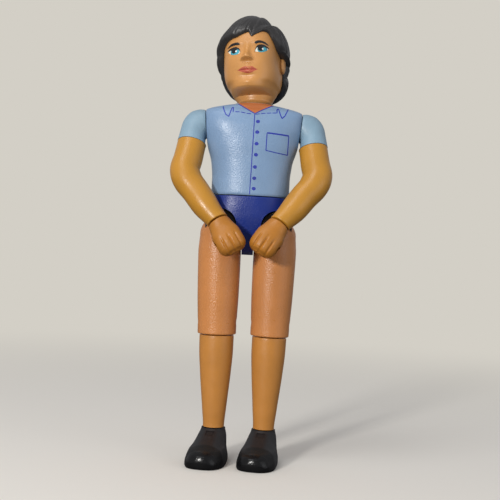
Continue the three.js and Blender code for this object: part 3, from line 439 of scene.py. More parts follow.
stitch_length, stitch_pitch = 1.6, 1.9
strokes = [(line, 0.34) for line in (collar_right, collar_right_fold, collar_left, collar_left_fold)]
strokes += [(line, 0.3) for line in (placket, pocket_sides, throat_right, throat_left)]
strokes.append((pocket_hem, 0.5))
for seam in (seam_right, seam_left):
    stitch = np.array(seam)
    run = run_along(stitch)
    for start in np.arange(0.1, run[-1] - 0.9, stitch_pitch):
        t = np.linspace(start, start + stitch_length, 4)
        strokes.append((np.stack([np.interp(t, run, stitch[:, k]) for k in (0, 1)], -1), 0.28))
ink = [pen_line(line, width, torso_front_y) for line, width in strokes]
buttons = [
    (1.36, 112.9), (1.32, 109.4), (1.29, 105.6), (1.25, 102.0), (1.13, 98.0), (1.1, 94.3), (1.1, 90.9)
]
ink += [disc(x, z, 0.66, 0.58, torso_front_y) for x, z in buttons]

print_ink = moulded("print_ink", (34, 50, 160), 0.5, grain=0.2, height=0.004, mottle=0.18)
piece("shirt_print", joined(*ink), print_ink, "torso")

vee_x = np.interp(np.linspace(0, 1, 60), [0, 0.45, 1], [-5.45, 0.2, 6.65])
vee_z = np.interp(vee_x, [-5.45, -3.75, 0.2, 3.25, 6.65], [118.85, 117.85, 115.55, 117.3, 119.05])
top_z = 119.37
lift = np.linspace(0, 1, 30)[:, None]
throat_x = vee_x[None, :] * np.interp(lift, [0, 1], [1, 0.93])
throat = inlay(throat_x, vee_z + lift * (top_z - vee_z), torso_front_y, height=0.02)
throat_paint = moulded("throat_paint", (192, 114, 66), 0.45, grain=0.3, height=0.01)
piece("throat", throat, throat_paint, "torso")


# Pelvis: one dark blue moulding that the torso turns on. Two round cut-outs take the black hip blocks
# and the thighs' round tops, and a narrow web is left between the legs.
def full_turn(sides):
    """Even angles once round, in radians."""
    return np.linspace(0, 2 * np.pi, sides, endpoint=False)


def level_rings(at, levels, sides):
    """Oval rings at a row of levels, from curves of half width, front, back and power."""
    x, y = oval(full_turn(sides), *at(levels).T[:, :, None])
    return stack(x, y, levels[:, None])


def fine_ends(low, high, steps, edge=0.3):
    """Even steps from low to high, with a few finer ones close to both ends."""
    fine = edge * np.array([0, 0.04, 0.13, 0.3, 0.6])
    return np.concatenate([low + fine, np.linspace(low + edge, high - edge, steps), high - fine[::-1]])


def eased(rings, from_start, from_end, radius=0.3):
    """Rings with rounded end edges: at a distance d from an end, less than the radius r, a ring shrinks
    towards its centre by r - sqrt(r ** 2 - (r - d) ** 2)."""
    near = 1 - np.clip(np.minimum(from_start, from_end) / radius, 0, 1)
    shrink = (radius * (1 - np.sqrt(1 - near**2)))[:, None, None]
    centre = rings.mean(axis=1, keepdims=True)
    out = rings - centre
    return centre + out * (1 - shrink / np.linalg.norm(out, axis=2, keepdims=True))


def cut(surface, tool, way="DIFFERENCE"):
    """A closed surface with another taken from it, joined to it, or kept where both are."""
    body, blade = [new_object("blank", mesh_of("blank", *shape)) for shape in (surface, tool)]
    step = body.modifiers.new("cut", "BOOLEAN")
    step.operation, step.object, step.solver = way, blade, "EXACT"
    result = body.evaluated_get(bpy.context.evaluated_depsgraph_get()).to_mesh()
    points = np.zeros(len(result.vertices) * 3, np.float32)
    result.vertices.foreach_get("co", points)
    faces = [list(face.vertices) for face in result.polygons]
    for made in (body, blade):
        bpy.data.meshes.remove(made.data)
    return points.reshape(-1, 3).astype(float), faces


def mirrored(surface):
    """The same surface on the body's other side, its faces turned round so that they still point out."""
    return surface[0] * [-1, 1, 1], [face[::-1] for face in surface[1]]


def rod(start, end, radius, sides=48):
    """A round bar: circles about the line from start to end, square to it."""
    start, end = np.array(start, float), np.array(end, float)
    ahead = (end - start) / np.linalg.norm(end - start)
    side = np.cross(ahead, [0, 0, 1] if abs(ahead[2]) < 0.9 else [1, 0, 0])
    side /= np.linalg.norm(side)
    up = np.cross(ahead, side)
    angle = full_turn(sides)[:, None]
    circle = radius * (np.cos(angle) * side + np.sin(angle) * up)
    return skin(np.stack([start + circle, end + circle]))


def egg(centre, half_x, half_y, half_z, sides=48):
    """A ball stretched by three half axes: circles of radius sin(rise) at height -cos(rise)."""
    rise = np.linspace(0.03, np.pi - 0.03, sides // 2)[:, None]
    angle = full_turn(sides)
    rings = stack(np.sin(rise) * np.cos(angle), np.sin(rise) * np.sin(angle), -np.cos(rise))
    return skin(rings * [half_x, half_y, half_z] + np.array(centre, float))


def block(low, high):
    """A plain box between two corners."""
    (x0, y0, z0), (x1, y1, z1) = low, high
    square = [(x0, y0), (x1, y0), (x1, y1), (x0, y1)]
    return skin(np.array([[(x, y, z) for x, y in square] for z in (z0, z1)], float))


hip_x, hip_z = 9.35, 75.3
drum_z, drum_end_y, drum_room, thigh_room, half_web = 78.7, 7.2, 5.35, 7.1, 1.9
low_z, high_z = 69.1, 88.4
pelvis_at = curves([
    [low_z, 12.55, 1.5, 1.5, 3],
    [low_z + 1.0, 12.55, 3.6, 4.0, 3],
    [low_z + 2.9, 12.55, 5.85, 6.5, 3],
    [low_z + 6.4, 12.55, 7.47, 9.0, 3.2],
    [low_z + 9.65, 12.55, 8.28, 10.0, 3.6],
    [low_z + 13.5, 12.7, 8.8, 9.6, 3.0],
    [high_z, 12.85, 9.05, 9.05, 2.4],
])
levels = fine_ends(low_z, high_z, 60)
pelvis_rings = level_rings(pelvis_at, levels, 200)
pelvis = skin(eased(pelvis_rings, levels - low_z + 1, high_z - levels, 0.25))
rooms = [
    block((half_web, -60, 0), (60, 60, hip_z + 1)),
    rod((hip_x, -60, drum_z), (hip_x, drum_end_y, drum_z), drum_room, 96),
    egg((hip_x, 0, hip_z), thigh_room, thigh_room, thigh_room, 96),
]
for room in rooms:
    pelvis = cut(cut(pelvis, room), mirrored(room))
pelvis_plastic = moulded("pelvis_plastic", (16, 44, 128), 0.38, grain=0.46, height=0.08, mottle=0.06)
piece("pelvis_block", pelvis, pelvis_plastic, "pelvis", ["pelvis"], crease=30)


# Thighs: orange tan mouldings with a fine matt grain. A ball-shaped top swings on a cross pin, slotted
# for the hip block's tongue, and the back is open above the knee so that the shin can fold up.
sides = (("left", 1), ("right", -1))


def placed(surface, turn, centre, side):
    """A surface of the left side turned and moved into place, or its mirror image on the right."""
    there = surface[0] @ np.array(turn).T + centre, surface[1]
    return there if side > 0 else mirrored(there)


def pair(name, surface, turn, centre, material, body, node, crease=40):
    """A piece made from a surface of the left side, and its mirror image on the right."""
    for left_or_right, side in sides:
        shape = placed(surface, turn, centre, side)
        body_name, node_name = f"{left_or_right}_{body}", f"{left_or_right}_{node}"
        piece(f"{left_or_right}_{name}", shape, material, body_name, [node_name], crease)


def rotation(axis, degrees):
    """Turn about an axis: cos and -sin are the row of the next axis, sin and cos that of the last."""
    first, second = {"x": (1, 2), "y": (2, 0), "z": (0, 1)}[axis]
    cosine, sine = np.cos(np.radians(degrees)), np.sin(np.radians(degrees))
    matrix = np.eye(3)
    matrix[first, first] = matrix[second, second] = cosine
    matrix[first, second], matrix[second, first] = -sine, sine
    return matrix


def turned(profile, sides=120):
    """A surface of revolution about the upright axis, from pairs of radius and height."""
    radius, height = np.array(profile, float).T[:, :, None]
    angle = full_turn(sides)
    return skin(stack(radius * np.cos(angle), radius * np.sin(angle), height))


def slab(outline, half):
    """A plate whose outline in y and z runs anticlockwise seen from +x, with its faces at x = -half and
    x = half."""
    outline = np.array(outline, float)
    rings = [np.column_stack([np.full(len(outline), x), outline]) for x in (-half, half)]
    return skin(np.stack(rings))


def tongue(radius, reach, front, back):
    """A tongue with a round end about the hinge, opened upwards into a fan: front and back are the
    degrees that its two edges lean."""
    start, end = np.pi + np.radians(front), 2 * np.pi - np.radians(back)
    arc = np.linspace(start, end, 24)
    rounded = np.column_stack([radius * np.cos(arc), radius * np.sin(arc)])
    lean_in, lean_out = start - np.pi / 2, end + np.pi / 2
    first = rounded[0] + reach * np.array([np.cos(lean_in), np.sin(lean_in)])
    last = rounded[-1] + reach * np.array([np.cos(lean_out), np.sin(lean_out)])
    return np.concatenate([[first], rounded, [last]])


ankle_x, ankle_height, knee_drop, rim_drop, shoulder_drop = 8.4, 11.1, 29.1, 4, 5.3
rim_radius, rim_round, top_radius = 6.45, 0.45, 6.8
knuckle_radius, half_knuckle, gap = 5.3, 4.4, 0.3
fold_radius, fold_height, pin_radius, half_slot = 3.65, 6.35, 1.35, 1.6
leg_lean = np.degrees(np.arctan2(hip_x - ankle_x, hip_z - ankle_height))
along_leg = 1 / np.cos(np.radians(leg_lean))
knee_z, ankle_z = -knee_drop * along_leg, -(hip_z - ankle_height) * along_leg
rim_z, upper_z = knee_z - rim_drop, -shoulder_drop * along_leg
thigh_at = curves([[rim_z, rim_radius], [(rim_z + upper_z) / 2, 6.93], [upper_z, 7.15], [0, top_radius]])
side_z = np.linspace(rim_z + rim_round, 0, 70)
side_line = np.column_stack([thigh_at(side_z)[:, 0], side_z])
lip = np.radians(np.linspace(-90, 0, 7)[:-1])
rim_x = rim_radius - rim_round + rim_round * np.cos(lip)
rim_line = np.column_stack([rim_x, rim_z + rim_round + rim_round * np.sin(lip)])
dome = np.radians(np.linspace(3, 89.5, 26))
dome_line = np.column_stack([top_radius * np.cos(dome), top_radius * np.sin(dome)])
thigh = turned(np.concatenate([rim_line, side_line, dome_line]))
cheek = np.radians(np.linspace(-90, 0, 20))
fold_top = knee_z + fold_height
bend_room = np.concatenate(
    [
        [(0, knee_z - 60)],
        np.column_stack([fold_radius * np.cos(cheek), knee_z + fold_radius * np.sin(cheek)]),
        [(fold_radius, fold_top), (60, fold_top), (60, knee_z - 60)],
    ]
)


def knuckle(radius, half):
    """The knee's ball about the pin, cut flat at half its thickness to each side."""
    ball = egg((0, 0, knee_z), radius, radius, radius, 72)
    return cut(ball, block((-half, -60, -90), (half, 60, 0)), "INTERSECT")


slot_room = slab(tongue(2.7, 13.6, 26, 22), half_slot)
for room in (slot_room, knuckle(knuckle_radius + gap, half_knuckle + gap), slab(bend_room[::-1], 60)):
    thigh = cut(thigh, room)
for height in (0, knee_z):
    thigh = cut(thigh, rod((-60, 0, height), (60, 0, height), pin_radius))
thigh_plastic = moulded("thigh_plastic", (202, 133, 75), 0.33, grain=0.42, height=0.12)
hip = np.array([hip_x, 0, hip_z])
leg_turn = rotation("y", leg_lean)
pair("thigh_form", thigh, leg_turn, hip, thigh_plastic, "thigh", "thigh", 30)


# Shins: satin tan, tapering to the ankle, with a round knuckle on top that turns inside the thigh.
shin_top = rim_z - gap
shin_height = shin_top - ankle_z
shin_at = curves([
    [ankle_z, 3.55, 3.55, 3.55, 2],
    [ankle_z + 0.2 * shin_height, 4.05, 4.05, 4.15, 2],
    [ankle_z + 0.6 * shin_height, 5.2, 5.1, 5.5, 2],
    [ankle_z + 0.85 * shin_height, 5.7, 5.65, 5.65, 2],
    [shin_top, 5.75, 5.75, 5.75, 2],
])
levels = fine_ends(ankle_z, shin_top, 60)
shin = skin(eased(level_rings(shin_at, levels, 120), levels - ankle_z + 1, shin_top - levels))
shin = cut(shin, knuckle(knuckle_radius, half_knuckle), "UNION")
shin = cut(shin, rod((-60, 0, knee_z), (60, 0, knee_z), pin_radius + 0.05))
shin_plastic = moulded("shin_plastic", (194, 131, 61), 0.36, grain=0.6, height=0.05)
pair("shin_form", shin, leg_turn, hip, shin_plastic, "shin", "shin", 30)


# Shoes: black slip-ons pressed on the shins, satin on the sides, with a polished toe cap and a small
# notch in front of the ankle. A brownish reflection of the shin is painted down the middle of the instep.
# Both toes point a little to the figure's right.
def fade(value, low, high):
    """Rises smoothly from 0 at low to 1 at high: 3 * s ** 2 - 2 * s ** 3 of the share s between them."""
    s = np.clip((value - low) / (high - low), 0, 1)
    return 3 * s**2 - 2 * s**3


shoe_top, notch_z, notch_depth, cap_start, cap_curve = 10.8, 9.5, 0.75, 11.0, 0.03
shoe_at = curves([
    [0, 18.0, 6.1, 6.0],
    [0.7, 18.4, 6.3, 6.2],
    [2.2, 18.5, 6.3, 6.2],
    [3.7, 18.25, 6.1, 6.0],
    [5.2, 16.5, 5.8, 5.6],
    [6.2, 12.6, 5.5, 5.2],
    [8.6, 6.95, 4.95, 4.55],
    [shoe_top, 3.95, 3.95, 3.95],
])
levels = np.concatenate([[0, 0.12, 0.3], np.linspace(0.55, shoe_top, 78)])[:, None]
toe, heel, half_width = shoe_at(levels[:, 0]).T[:, :, None]
middle, half_length = (toe - heel) / 2, (toe + heel) / 2
broad = 0.16 * np.minimum(1, middle / 6)
square = 2.25 + 0.5 * fade(-levels, -4.2, -1.2)
x, y = oval(full_turn(180), half_width, half_length, half_length, square)
x = x * (1 - broad * y / half_length)
y = y - middle
notch = fade(-np.abs(x), -1.5, -1.2) * fade(-np.abs(levels - notch_z), -0.7, -0.45) * (y < 0)
shoe = skin(stack(x, y + notch_depth * notch, levels))
cap_edge = cap_start + cap_curve * x**2
masks = {
    "cap": fade(-y, cap_edge - 0.25, cap_edge + 0.25),
    "polish": fade(-y, 15.0, 16.6),
    # Painted reflection: the brownish middle of the instep's top stands for the tan shin reflected in the
    # shoe.
    "instep": fade(-np.abs(x), -3.0, -1.4) * fade(levels, 5.0, 6.5),
}

shoe_plastic = moulded("shoe_plastic", (38, 38, 40), 0.58, grain=0.5, height=0.06, mottle=0.1)
tree = shoe_plastic.node_tree
shader = tree.nodes["Principled BSDF"]
shader.inputs["Specular IOR Level"].default_value = 0.25
# The toe cap's darker black and its polish are the shoe's own; the brownish instep colour is a painted
# reflection of the shin.
for name, socket, value in (
    ("instep", "Base Color", colour(36, 29, 28)),
    ("cap", "Base Color", colour(18, 18, 19)),
    ("polish", "Roughness", 0.2),
):
    mask = add(tree, "Attribute", attribute_name=name).outputs["Fac"]
    blend = {"Factor": mask, "A": shader.inputs[socket].links[0].from_socket, "B": value}
    painted = add(tree, "Mix", blend, data_type="RGBA" if isinstance(value, tuple) else "FLOAT")
    tree.links.new(painted.outputs["Result"], shader.inputs[socket])
toe_turn = 10.5
for name, side in sides:
    shape = placed(shoe, rotation("z", -toe_turn * side), np.array([ankle_x, 0, 0]), side)
    body, node = f"{name}_shin", f"{name}_shoe"
    made = piece(f"{name}_shoe_form", shape, shoe_plastic, body, [node], crease=50)
    for mask_name, mask in masks.items():
        values = np.append(mask.reshape(-1), [0, 0]).astype(np.float32)
        made.data.attributes.new(mask_name, "FLOAT", "POINT").data.foreach_set("value", values)


# Sleeves: shoulder caps of a greyer blue than the shirt, with a matt skin. Their sections fan out about
# the armpit, from the flat seat on the torso to the hem.
def unit(direction):
    """A direction, or each of an array of them, divided by its length."""
    return direction / np.linalg.norm(direction, axis=-1, keepdims=True)


arm_turn = rotation("y", seat_lean) @ rotation("x", -20)
shoulder = np.array([seat_x, 0, shoulder_z])
hem_axis = unit(np.array([1.2, 0, -5.3]))
hem_centre = np.array([5.0, 0, -7.2])
hem_radius = 4.85
hem_across = hem_radius * np.array([-hem_axis[2], 0, hem_axis[0]])
(inner_x, _, inner_z), (outer_x, _, outer_z) = hem_centre - hem_across, hem_centre + hem_across
sleeve_at = curves([
    [0, 0.12, -5.1, 0.12, 4.4, 4.9],
    [1, 0.4, -5.5, 1.9, 4.65, 5.1],
    [2, 0.45, -6.0, 4.3, 4.2, 5.1],
    [3, 0.5, -6.5, 6.5, 2.6, 5.0],
    [4, 0.55, -7.0, 7.95, 0.2, 4.95],
    [5, 0.58, -7.5, 8.8, -2.8, 4.9],
    [6, inner_x, inner_z, outer_x, outer_z, hem_radius],
])
fan = fine_ends(0, 6, 60, 0.12)
in_x, in_z, out_x, out_z, depth = sleeve_at(fan).T[:, :, None]
angle = full_turn(120)
share = (1 + np.cos(angle)) / 2
rings = stack(in_x + share * (out_x - in_x), depth * np.sin(angle), in_z + share * (out_z - in_z))
sleeve = skin(eased(rings, fan * 2, (6 - fan) * 6, 0.25))
sleeve_plastic = moulded("sleeve_plastic", (134, 163, 182), 0.46, grain=0.6, height=0.07, mottle=0.04)
pair("sleeve_cap", sleeve, arm_turn, shoulder, sleeve_plastic, "arm", "sleeve")


# Arms: satin tan, one moulding bent at the elbow, from the sleeve's hem to the wrist seam.
def flowing(places, steps):
    """A smooth line through places, in equal steps: cubic pieces whose slopes follow from the places
    beside them, each span timed by the square root of its length."""
    p = np.array(places, float)
    p = np.concatenate([[2 * p[0] - p[1]], p, [2 * p[-1] - p[-2]]])
    span = np.sqrt(np.linalg.norm(np.diff(p, axis=0), axis=1))[:, None]
    rate = np.diff(p, axis=0) / span
    slope = rate[:-1] - (p[2:] - p[:-2]) / (span[:-1] + span[1:]) + rate[1:]
    s = np.linspace(0, 1, 60, endpoint=False)[:, None, None]
    spans = cubic(s, span[1:-1], p[1:-2], p[2:-1], slope[:-1], slope[1:])
    line = np.concatenate([spans.transpose(1, 0, 2).reshape(-1, 3), p[-2:-1]])
    run = run_along(line)
    even = np.interp(steps, [0, 1], [0, run[-1]])
    return np.stack([np.interp(even, run, line[:, k]) for k in range(3)], -1)


elbow, wrist = np.array([7.1, -0.15, -17.6]), np.array([-3.1, -0.85, -35.7])
forearm_axis = unit(wrist - elbow + [0.9, 0, 0])
start = hem_centre + 0.05 * hem_axis
bends = [
    start,
    start + 0.55 * (elbow - start) + [0.15, 0, 0],
    elbow + [0.3, 0, 0.5],
    elbow + 0.2 * (wrist - elbow) + [1.35, 0.02, 0.3],
    elbow + 0.42 * (wrist - elbow) + [0.95, 0.02, 0.1],
    elbow + 0.7 * (wrist - elbow) + [0.55, 0, -0.35],
    wrist,
]
t = fine_ends(0, 1, 110, 0.012)
line = flowing(bends, t)
ahead = unit(np.gradient(line, t, axis=0))
near_hem, near_wrist = (np.minimum(1, 4 * np.exp(-50 * end))[:, None] for end in (t, 1 - t))
ahead = unit(ahead + near_hem * (hem_axis - ahead) + near_wrist * (forearm_axis - ahead))
front = unit(np.array([0, -1, 0]) + ahead * ahead[:, 1:2])
across = np.cross(ahead, front)
radius_at = curves([[0, 4.75], [0.2, 4.85], [0.38, 4.95], [0.55, 4.65], [0.75, 4.45], [1, 3.55]])
arm_radius = radius_at(t)[:, :, None]
angle = full_turn(120)[:, None]
rings = line[:, None] + arm_radius * (np.cos(angle) * across[:, None] + np.sin(angle) * front[:, None])
arm = skin(eased(rings, t * 120, (1 - t) * 40, 0.35))
arm_plastic = moulded("arm_plastic", (191, 135, 45), 0.34, grain=0.55, height=0.05)
pair("arm_form", arm, arm_turn, shoulder, arm_plastic, "arm", "arm")


# Hands: closed fists of the arms' tan plastic, turning at the wrist seam; their colour is set darker than
# the arms' as painted shade. Three grooves part the fingers, and a hole runs across the grip.
seam_reach, grip_reach, tip_reach, fist_length = 0.5, 8.25, 11, 12.5
hand_at = curves([
    [seam_reach, 3.55, 3.55, 2],
    [1.25, 3.7, 3.5, 2],
    [3.1, 4.1, 3.4, 2.1],
    [5.75, 4.75, 3.6, 2.3],
    [8.5, 4.8, 3.7, 2.4],
    [10.6, 4.5, 3.3, 2.3],
    [11.9, 3.5, 2.5, 2.2],
    [fist_length, 1.9, 1.1, 2],
])
closing = (fist_length - tip_reach) * np.linspace(1, 0, 24)[1:] ** 2
reach = np.concatenate([fine_ends(seam_reach, tip_reach, 80), fist_length - closing])
half_width, half_thickness, power = hand_at(reach).T[:, :, None]
x, y = oval(full_turn(180), half_width, half_thickness, half_thickness, power)
finger_width, groove_depth, grip_radius = 2.4, 0.5, 1.6
grooves = (0.5 + 0.5 * np.cos(2 * np.pi * x / finger_width)) ** 5 * (np.abs(x) < 1.5 * finger_width)
depth = np.where(y < 0, y + groove_depth * fade(reach[:, None], 6, 9) * grooves, y)
front = unit(np.array([0, -1, 0]) + forearm_axis * forearm_axis[1])
across = np.cross(forearm_axis, front)
rings = wrist + reach[:, None, None] * forearm_axis + x[..., None] * across - depth[..., None] * front
grip = wrist + grip_reach * forearm_axis
hand = skin(eased(rings, reach - seam_reach, 5 + 0 * reach, 0.4))
hand = cut(hand, rod(grip - 9 * across, grip + 9 * across, grip_radius))
# Painted shade: the fists' tone is darker and redder than the arms', standing for the shade they lie in.
fist_plastic = moulded("fist_plastic", (177, 114, 36), 0.42, grain=0.55, height=0.05, mottle=0.06)
pair("fist", hand, arm_turn, shoulder, fist_plastic, "hand", "hand", 50)


# Head: skull, face, ears and neck in one tan moulding. Level ovals give the skull, and the features
# are swellings and hollows of its front; the neck ends in a sphere that turns in the torso's dish.
nod_x, nod_y, nod_z = next(joint["axis"] for joint in frame["joints"] if joint["name"] == "head_nod")
head_yaw, head_roll = np.degrees(np.arctan2(nod_y, nod_x)), -np.degrees(np.arcsin(nod_z))
head_turn = rotation("z", head_yaw) @ rotation("y", head_roll) @ rotation("x", -10)
neck_ball = np.array([0, 0, neck_ball_z])
jaw_z, chin_z, crown_z, skull_z = -4.15, -2.7, 21.4, 22.9


def head_level(share):
    """Height at a share of the way up from the chin to the top of the skull."""
    return chin_z + share * (skull_z - chin_z)


head_at = curves([
    [jaw_z, 5.7, 6.2, 5.6, 2.1],
    [-3.95, 6.05, 8.2, 5.7, 2.1],
    [-3.7, 6.35, 10.0, 5.7, 2.1],
    [-3.35, 6.65, 11.4, 5.8, 2.15],
    [-2.9, 6.95, 12.0, 6.0, 2.2],
    [-1.7, 7.5, 12.15, 6.4, 2.3],
    [head_level(0.1), 8.35, 12.05, 7.1, 2.5],
    [head_level(0.22), 9.0, 12.2, 8.3, 2.65],
    [head_level(0.34), 9.2, 12.4, 9.2, 2.65],
    [head_level(0.46), 9.3, 12.6, 9.8, 2.55],
    [head_level(0.58), 9.4, 12.9, 10.0, 2.4],
    [head_level(0.7), 9.2, 12.6, 9.8, 2.2],
    [17.6, 8.0, 11.0, 8.6, 2.1],
    [19.6, 6.2, 8.2, 6.6, 2],
    [20.8, 3.7, 4.6, 4.0, 2],
    [crown_z, 1.1, 1.5, 1.3, 2],
])
nose_at = curves([
    [4.6, 0, 1.3],
    [5.15, 0.35, 1.55],
    [5.5, 1.35, 1.55],
    [6.05, 2.4, 1.4],
    [6.85, 2.3, 1.15],
    [8.0, 1.45, 0.9],
    [9.2, 0.75, 0.8],
    [10.6, 0.3, 1.0],
    [12.2, 0, 1.4],
])
# Swellings and hollows: centre across and up, half width, half height and height. The first list is
# for both sides of the face, the second for its middle.
swellings = [
    (1.35, 5.85, 0.55, 0.5, 0.8),
    (5.0, 5.2, 2.4, 2.2, 0.25),
    (4.7, 9.3, 2.7, 1.5, -0.6),
    (4.7, 9.2, 1.9, 1.0, 0.4),
    (4.4, 11.5, 2.6, 0.9, 0.3),
]
middle_swellings = [
    (0.2, 1.45, 1.7, 0.5, 0.5),
    (0.2, 2.65, 2.0, 0.42, 0.4),
    (0.2, 2.1, 2.6, 0.2, -0.2),
    (0.2, 0.25, 2.2, 0.6, -0.3),
    (0.3, -1.9, 1.9, 0.9, 0.5),
    (0.1, 4.0, 0.7, 0.8, 0.14),
    (0.2, 3.2, 3.2, 2.6, 0.5),
]


def relief(x, z):
    """How far the features stand out of the face: the nose, height * exp(-|x / width| ** 2.4) at each
    level, and swellings height * exp(-(dx / half width) ** 2 - (dz / half height) ** 2)."""
    nose_height, nose_width = np.moveaxis(nose_at(z), -1, 0)
    total = nose_height * np.exp(-np.abs((x - 0.1) / nose_width) ** 2.4)
    both = [(side * place, *rest) for place, *rest in swellings for side in (-1, 1)]
    for centre_x, centre_z, half_x, half_z, height in both + middle_swellings:
        away = ((x - centre_x) / half_x) ** 2 + ((z - centre_z) / half_z) ** 2
        total = total + height * np.exp(-away)
    return total


def face_y(x, z):
    """The face at a place across and up: the front of the level ovals, less the relief."""
    return front_of(head_at, x, z) - relief(x, z)


# How far each flank is moved, at heights above the neck's ball: the right one, then the left one.
lean_rows = [[-5.6, 0, 0], [-3, -0.8, 0], [2, -0.9, -0.2], [8, -0.9, -0.8], [15, -0.7, -0.8], [22, 0.1, 0]]
lean_at = curves(lean_rows)


def leaned(surface):
    """The head's flanks moved a little to its right: x shifts by its own side's lean at its height,
    times the square of |x| / 9.3, which counts as 1 beyond the flanks."""
    points = surface[0].copy()
    right_lean, left_lean = lean_at(points[:, 2]).T
    share = np.minimum(1, (points[:, 0] / 9.3) ** 2)
    points[:, 0] += np.where(points[:, 0] < 0, right_lean, left_lean) * share
    return points, surface[1]


def on_head(surface):
    """A surface of the head leaned, then turned and set on the neck's ball."""
    return placed(leaned(surface), head_turn, neck_ball, 1)


levels = np.concatenate([np.linspace(jaw_z, -1.6, 32), np.linspace(-1.5, crown_z, 190)])
x, y = oval(full_turn(320), *head_at(levels).T[:, :, None])
y = np.where(y < 0, y - relief(x, levels[:, None]), y)
jaw_rise = 0.8 * (x / 7.5) ** 2 * fade(-y, -1, 9) * fade(-levels, -1, 2.6)[:, None]
skull = skin(eased(stack(x, y, levels[:, None] + jaw_rise), levels - jaw_z, 5 + 0 * levels, 0.6))
neck_rim, neck_sphere = 5.5, 7.85
under = np.linspace(0.02, np.arcsin(neck_rim / neck_sphere), 16)
rim_level = -neck_sphere * np.cos(under[-1])
neck_at = curves([
    [rim_level, neck_rim, neck_rim],
    [-4.6, 6.0, 5.75],
    [-3.8, 6.45, 5.9],
    [-2.95, 6.95, 7.3],
    [-2, 7.4, 8.6],
    [1, 8.2, 9],
])
neck_levels = np.concatenate([-neck_sphere * np.cos(under), np.linspace(rim_level + 0.1, 1, 30)])
neck_x, neck_y = neck_at(neck_levels).T
neck_x[: len(under)] = neck_y[: len(under)] = neck_sphere * np.sin(under)
neck_back = np.minimum(neck_y, 6)
x, y = oval(full_turn(120), *np.stack([neck_x, neck_y, neck_back])[:, :, None], 2)
head = cut(skull, skin(stack(x, y, neck_levels[:, None])), "UNION")
for side in (-1, 1):
    ear = egg((side * 9.6, 0.9, 7.9), 1.15, 1.9, 3.0)
    ear = cut(ear, egg((side * 10.95, 0.5, 8.4), 0.7, 0.95, 1.75))
    head = cut(head, ear, "UNION")
face_plastic = moulded("face_plastic", (202, 144, 81), 0.37, grain=0.6, height=0.01)
piece("head_form", on_head(head), face_plastic, "head", ["head"], crease=50)


# Face print: eyes in six layers of ink, brows and lips, each a film that follows the face.
def paint(name, tone, roughness, *surfaces):
    """One ink of the face print, over all of its films."""
    ink = moulded(name, tone, roughness, grain=0.2, height=0.004, mottle=0.08)
    piece(name, on_head(joined(*surfaces)), ink, "head")


right_lid = [
    (-6.85, 9.9), (-6.1, 10.12), (-5.2, 10.22), (-4.0, 10.21), (-2.87, 9.76), (-2.45, 9.24), (-2.25, 8.42)
]
right_under = [(-6.85, 9.9), (-6.0, 8.69), (-4.95, 7.92), (-3.72, 7.69), (-2.73, 7.87), (-2.25, 8.42)]
left_lid = [
    (2.57, 8.33), (2.83, 9.35), (3.4, 10.2), (4.51, 10.55), (5.66, 10.64), (6.57, 10.34), (7.08, 10.06)
]
left_under = [(2.57, 8.33), (3.3, 8.21), (4.51, 8.15), (5.65, 8.48), (6.56, 9.16), (7.08, 10.06)]
right_brow_top = [(-7.2, 10.7), (-6.4, 11.2), (-5.36, 11.6), (-4.0, 11.7), (-2.6, 11.42), (-2.4, 11.0)]
right_brow_under = [
    (-7.2, 10.7), (-6.4, 10.68), (-5.36, 10.84), (-3.74, 10.86), (-2.6, 10.72), (-2.4, 11.0)
]
left_brow_top = [(2.5, 11.15), (3.0, 11.66), (4.4, 11.98), (5.84, 11.78), (6.6, 11.35), (7.2, 10.9)]
left_brow_under = [(2.5, 11.15), (2.9, 10.82), (4.51, 11.2), (5.85, 11.08), (6.75, 10.8), (7.2, 10.9)]
eyes = [
    (right_lid, right_under, (-4.1, 8.95), (-4.35, 9.15), (-3.7, 8.9)),
    (left_lid, left_under, (5.0, 9.25), (4.55, 9.4), (5.2, 9.35)),
]


def edge_at(places, x):
    """Height of a line of places at each x."""
    return curves(places)(x)[..., 0]


def round_in_eye(centre, radius, lid, under, height):
    """The part of a round dot that lies between an eye's lower edge and its lid."""
    turn = np.linspace(-np.pi / 2, np.pi / 2, 31)
    x, half = centre[0] + radius * np.sin(turn), radius * np.cos(turn)
    low = np.maximum(centre[1] - half, edge_at(under, x))
    high = np.minimum(centre[1] + half, edge_at(lid, x))
    return between(x, low, high, face_y, height)


def patch(top, under, height=0.02):
    """The film between an upper and a lower line of places."""
    x = np.linspace(top[0][0], top[-1][0], 41)
    return between(x, edge_at(under, x), edge_at(top, x), face_y, height)


iris_rim_radius, iris_radius, pupil_radius = 1.55, 1.38, 0.9
whites, rims, irises, pupils, glints, lids = [], [], [], [], [], []
for lid, under, iris, pupil, glint in eyes:
    whites.append(patch(lid, under))
    rims.append(round_in_eye(iris, iris_rim_radius, lid, under, 0.035))
    irises.append(round_in_eye((iris[0] + 0.05, iris[1] - 0.2), iris_radius, lid, under, 0.045))
    pupils.append(round_in_eye(pupil, pupil_radius, lid, under, 0.055))
    glints.append(disc(*glint, 0.27, 0.34, face_y, 0.08))
    x = np.linspace(lid[0][0], lid[-1][0], 41)
    arch = np.sin(np.linspace(0.25, np.pi - 0.25, 41)) ** 0.6
    lids.append(between(x, edge_at(lid, x) - 0.62 * arch, edge_at(lid, x) + 0.16 * arch, face_y, 0.07))
paint("eye_white", (226, 226, 214), 0.4, *whites)
paint("iris_rim", (34, 84, 104), 0.35, *rims)
paint("iris", (72, 162, 180), 0.35, *irises)
paint("pupil", (22, 20, 24), 0.35, *pupils)
paint("glint", (240, 240, 236), 0.3, *glints)
brows = [patch(right_brow_top, right_brow_under, 0.04), patch(left_brow_top, left_brow_under, 0.04)]
paint("lid_and_brow", (30, 26, 28), 0.45, *lids, *brows)
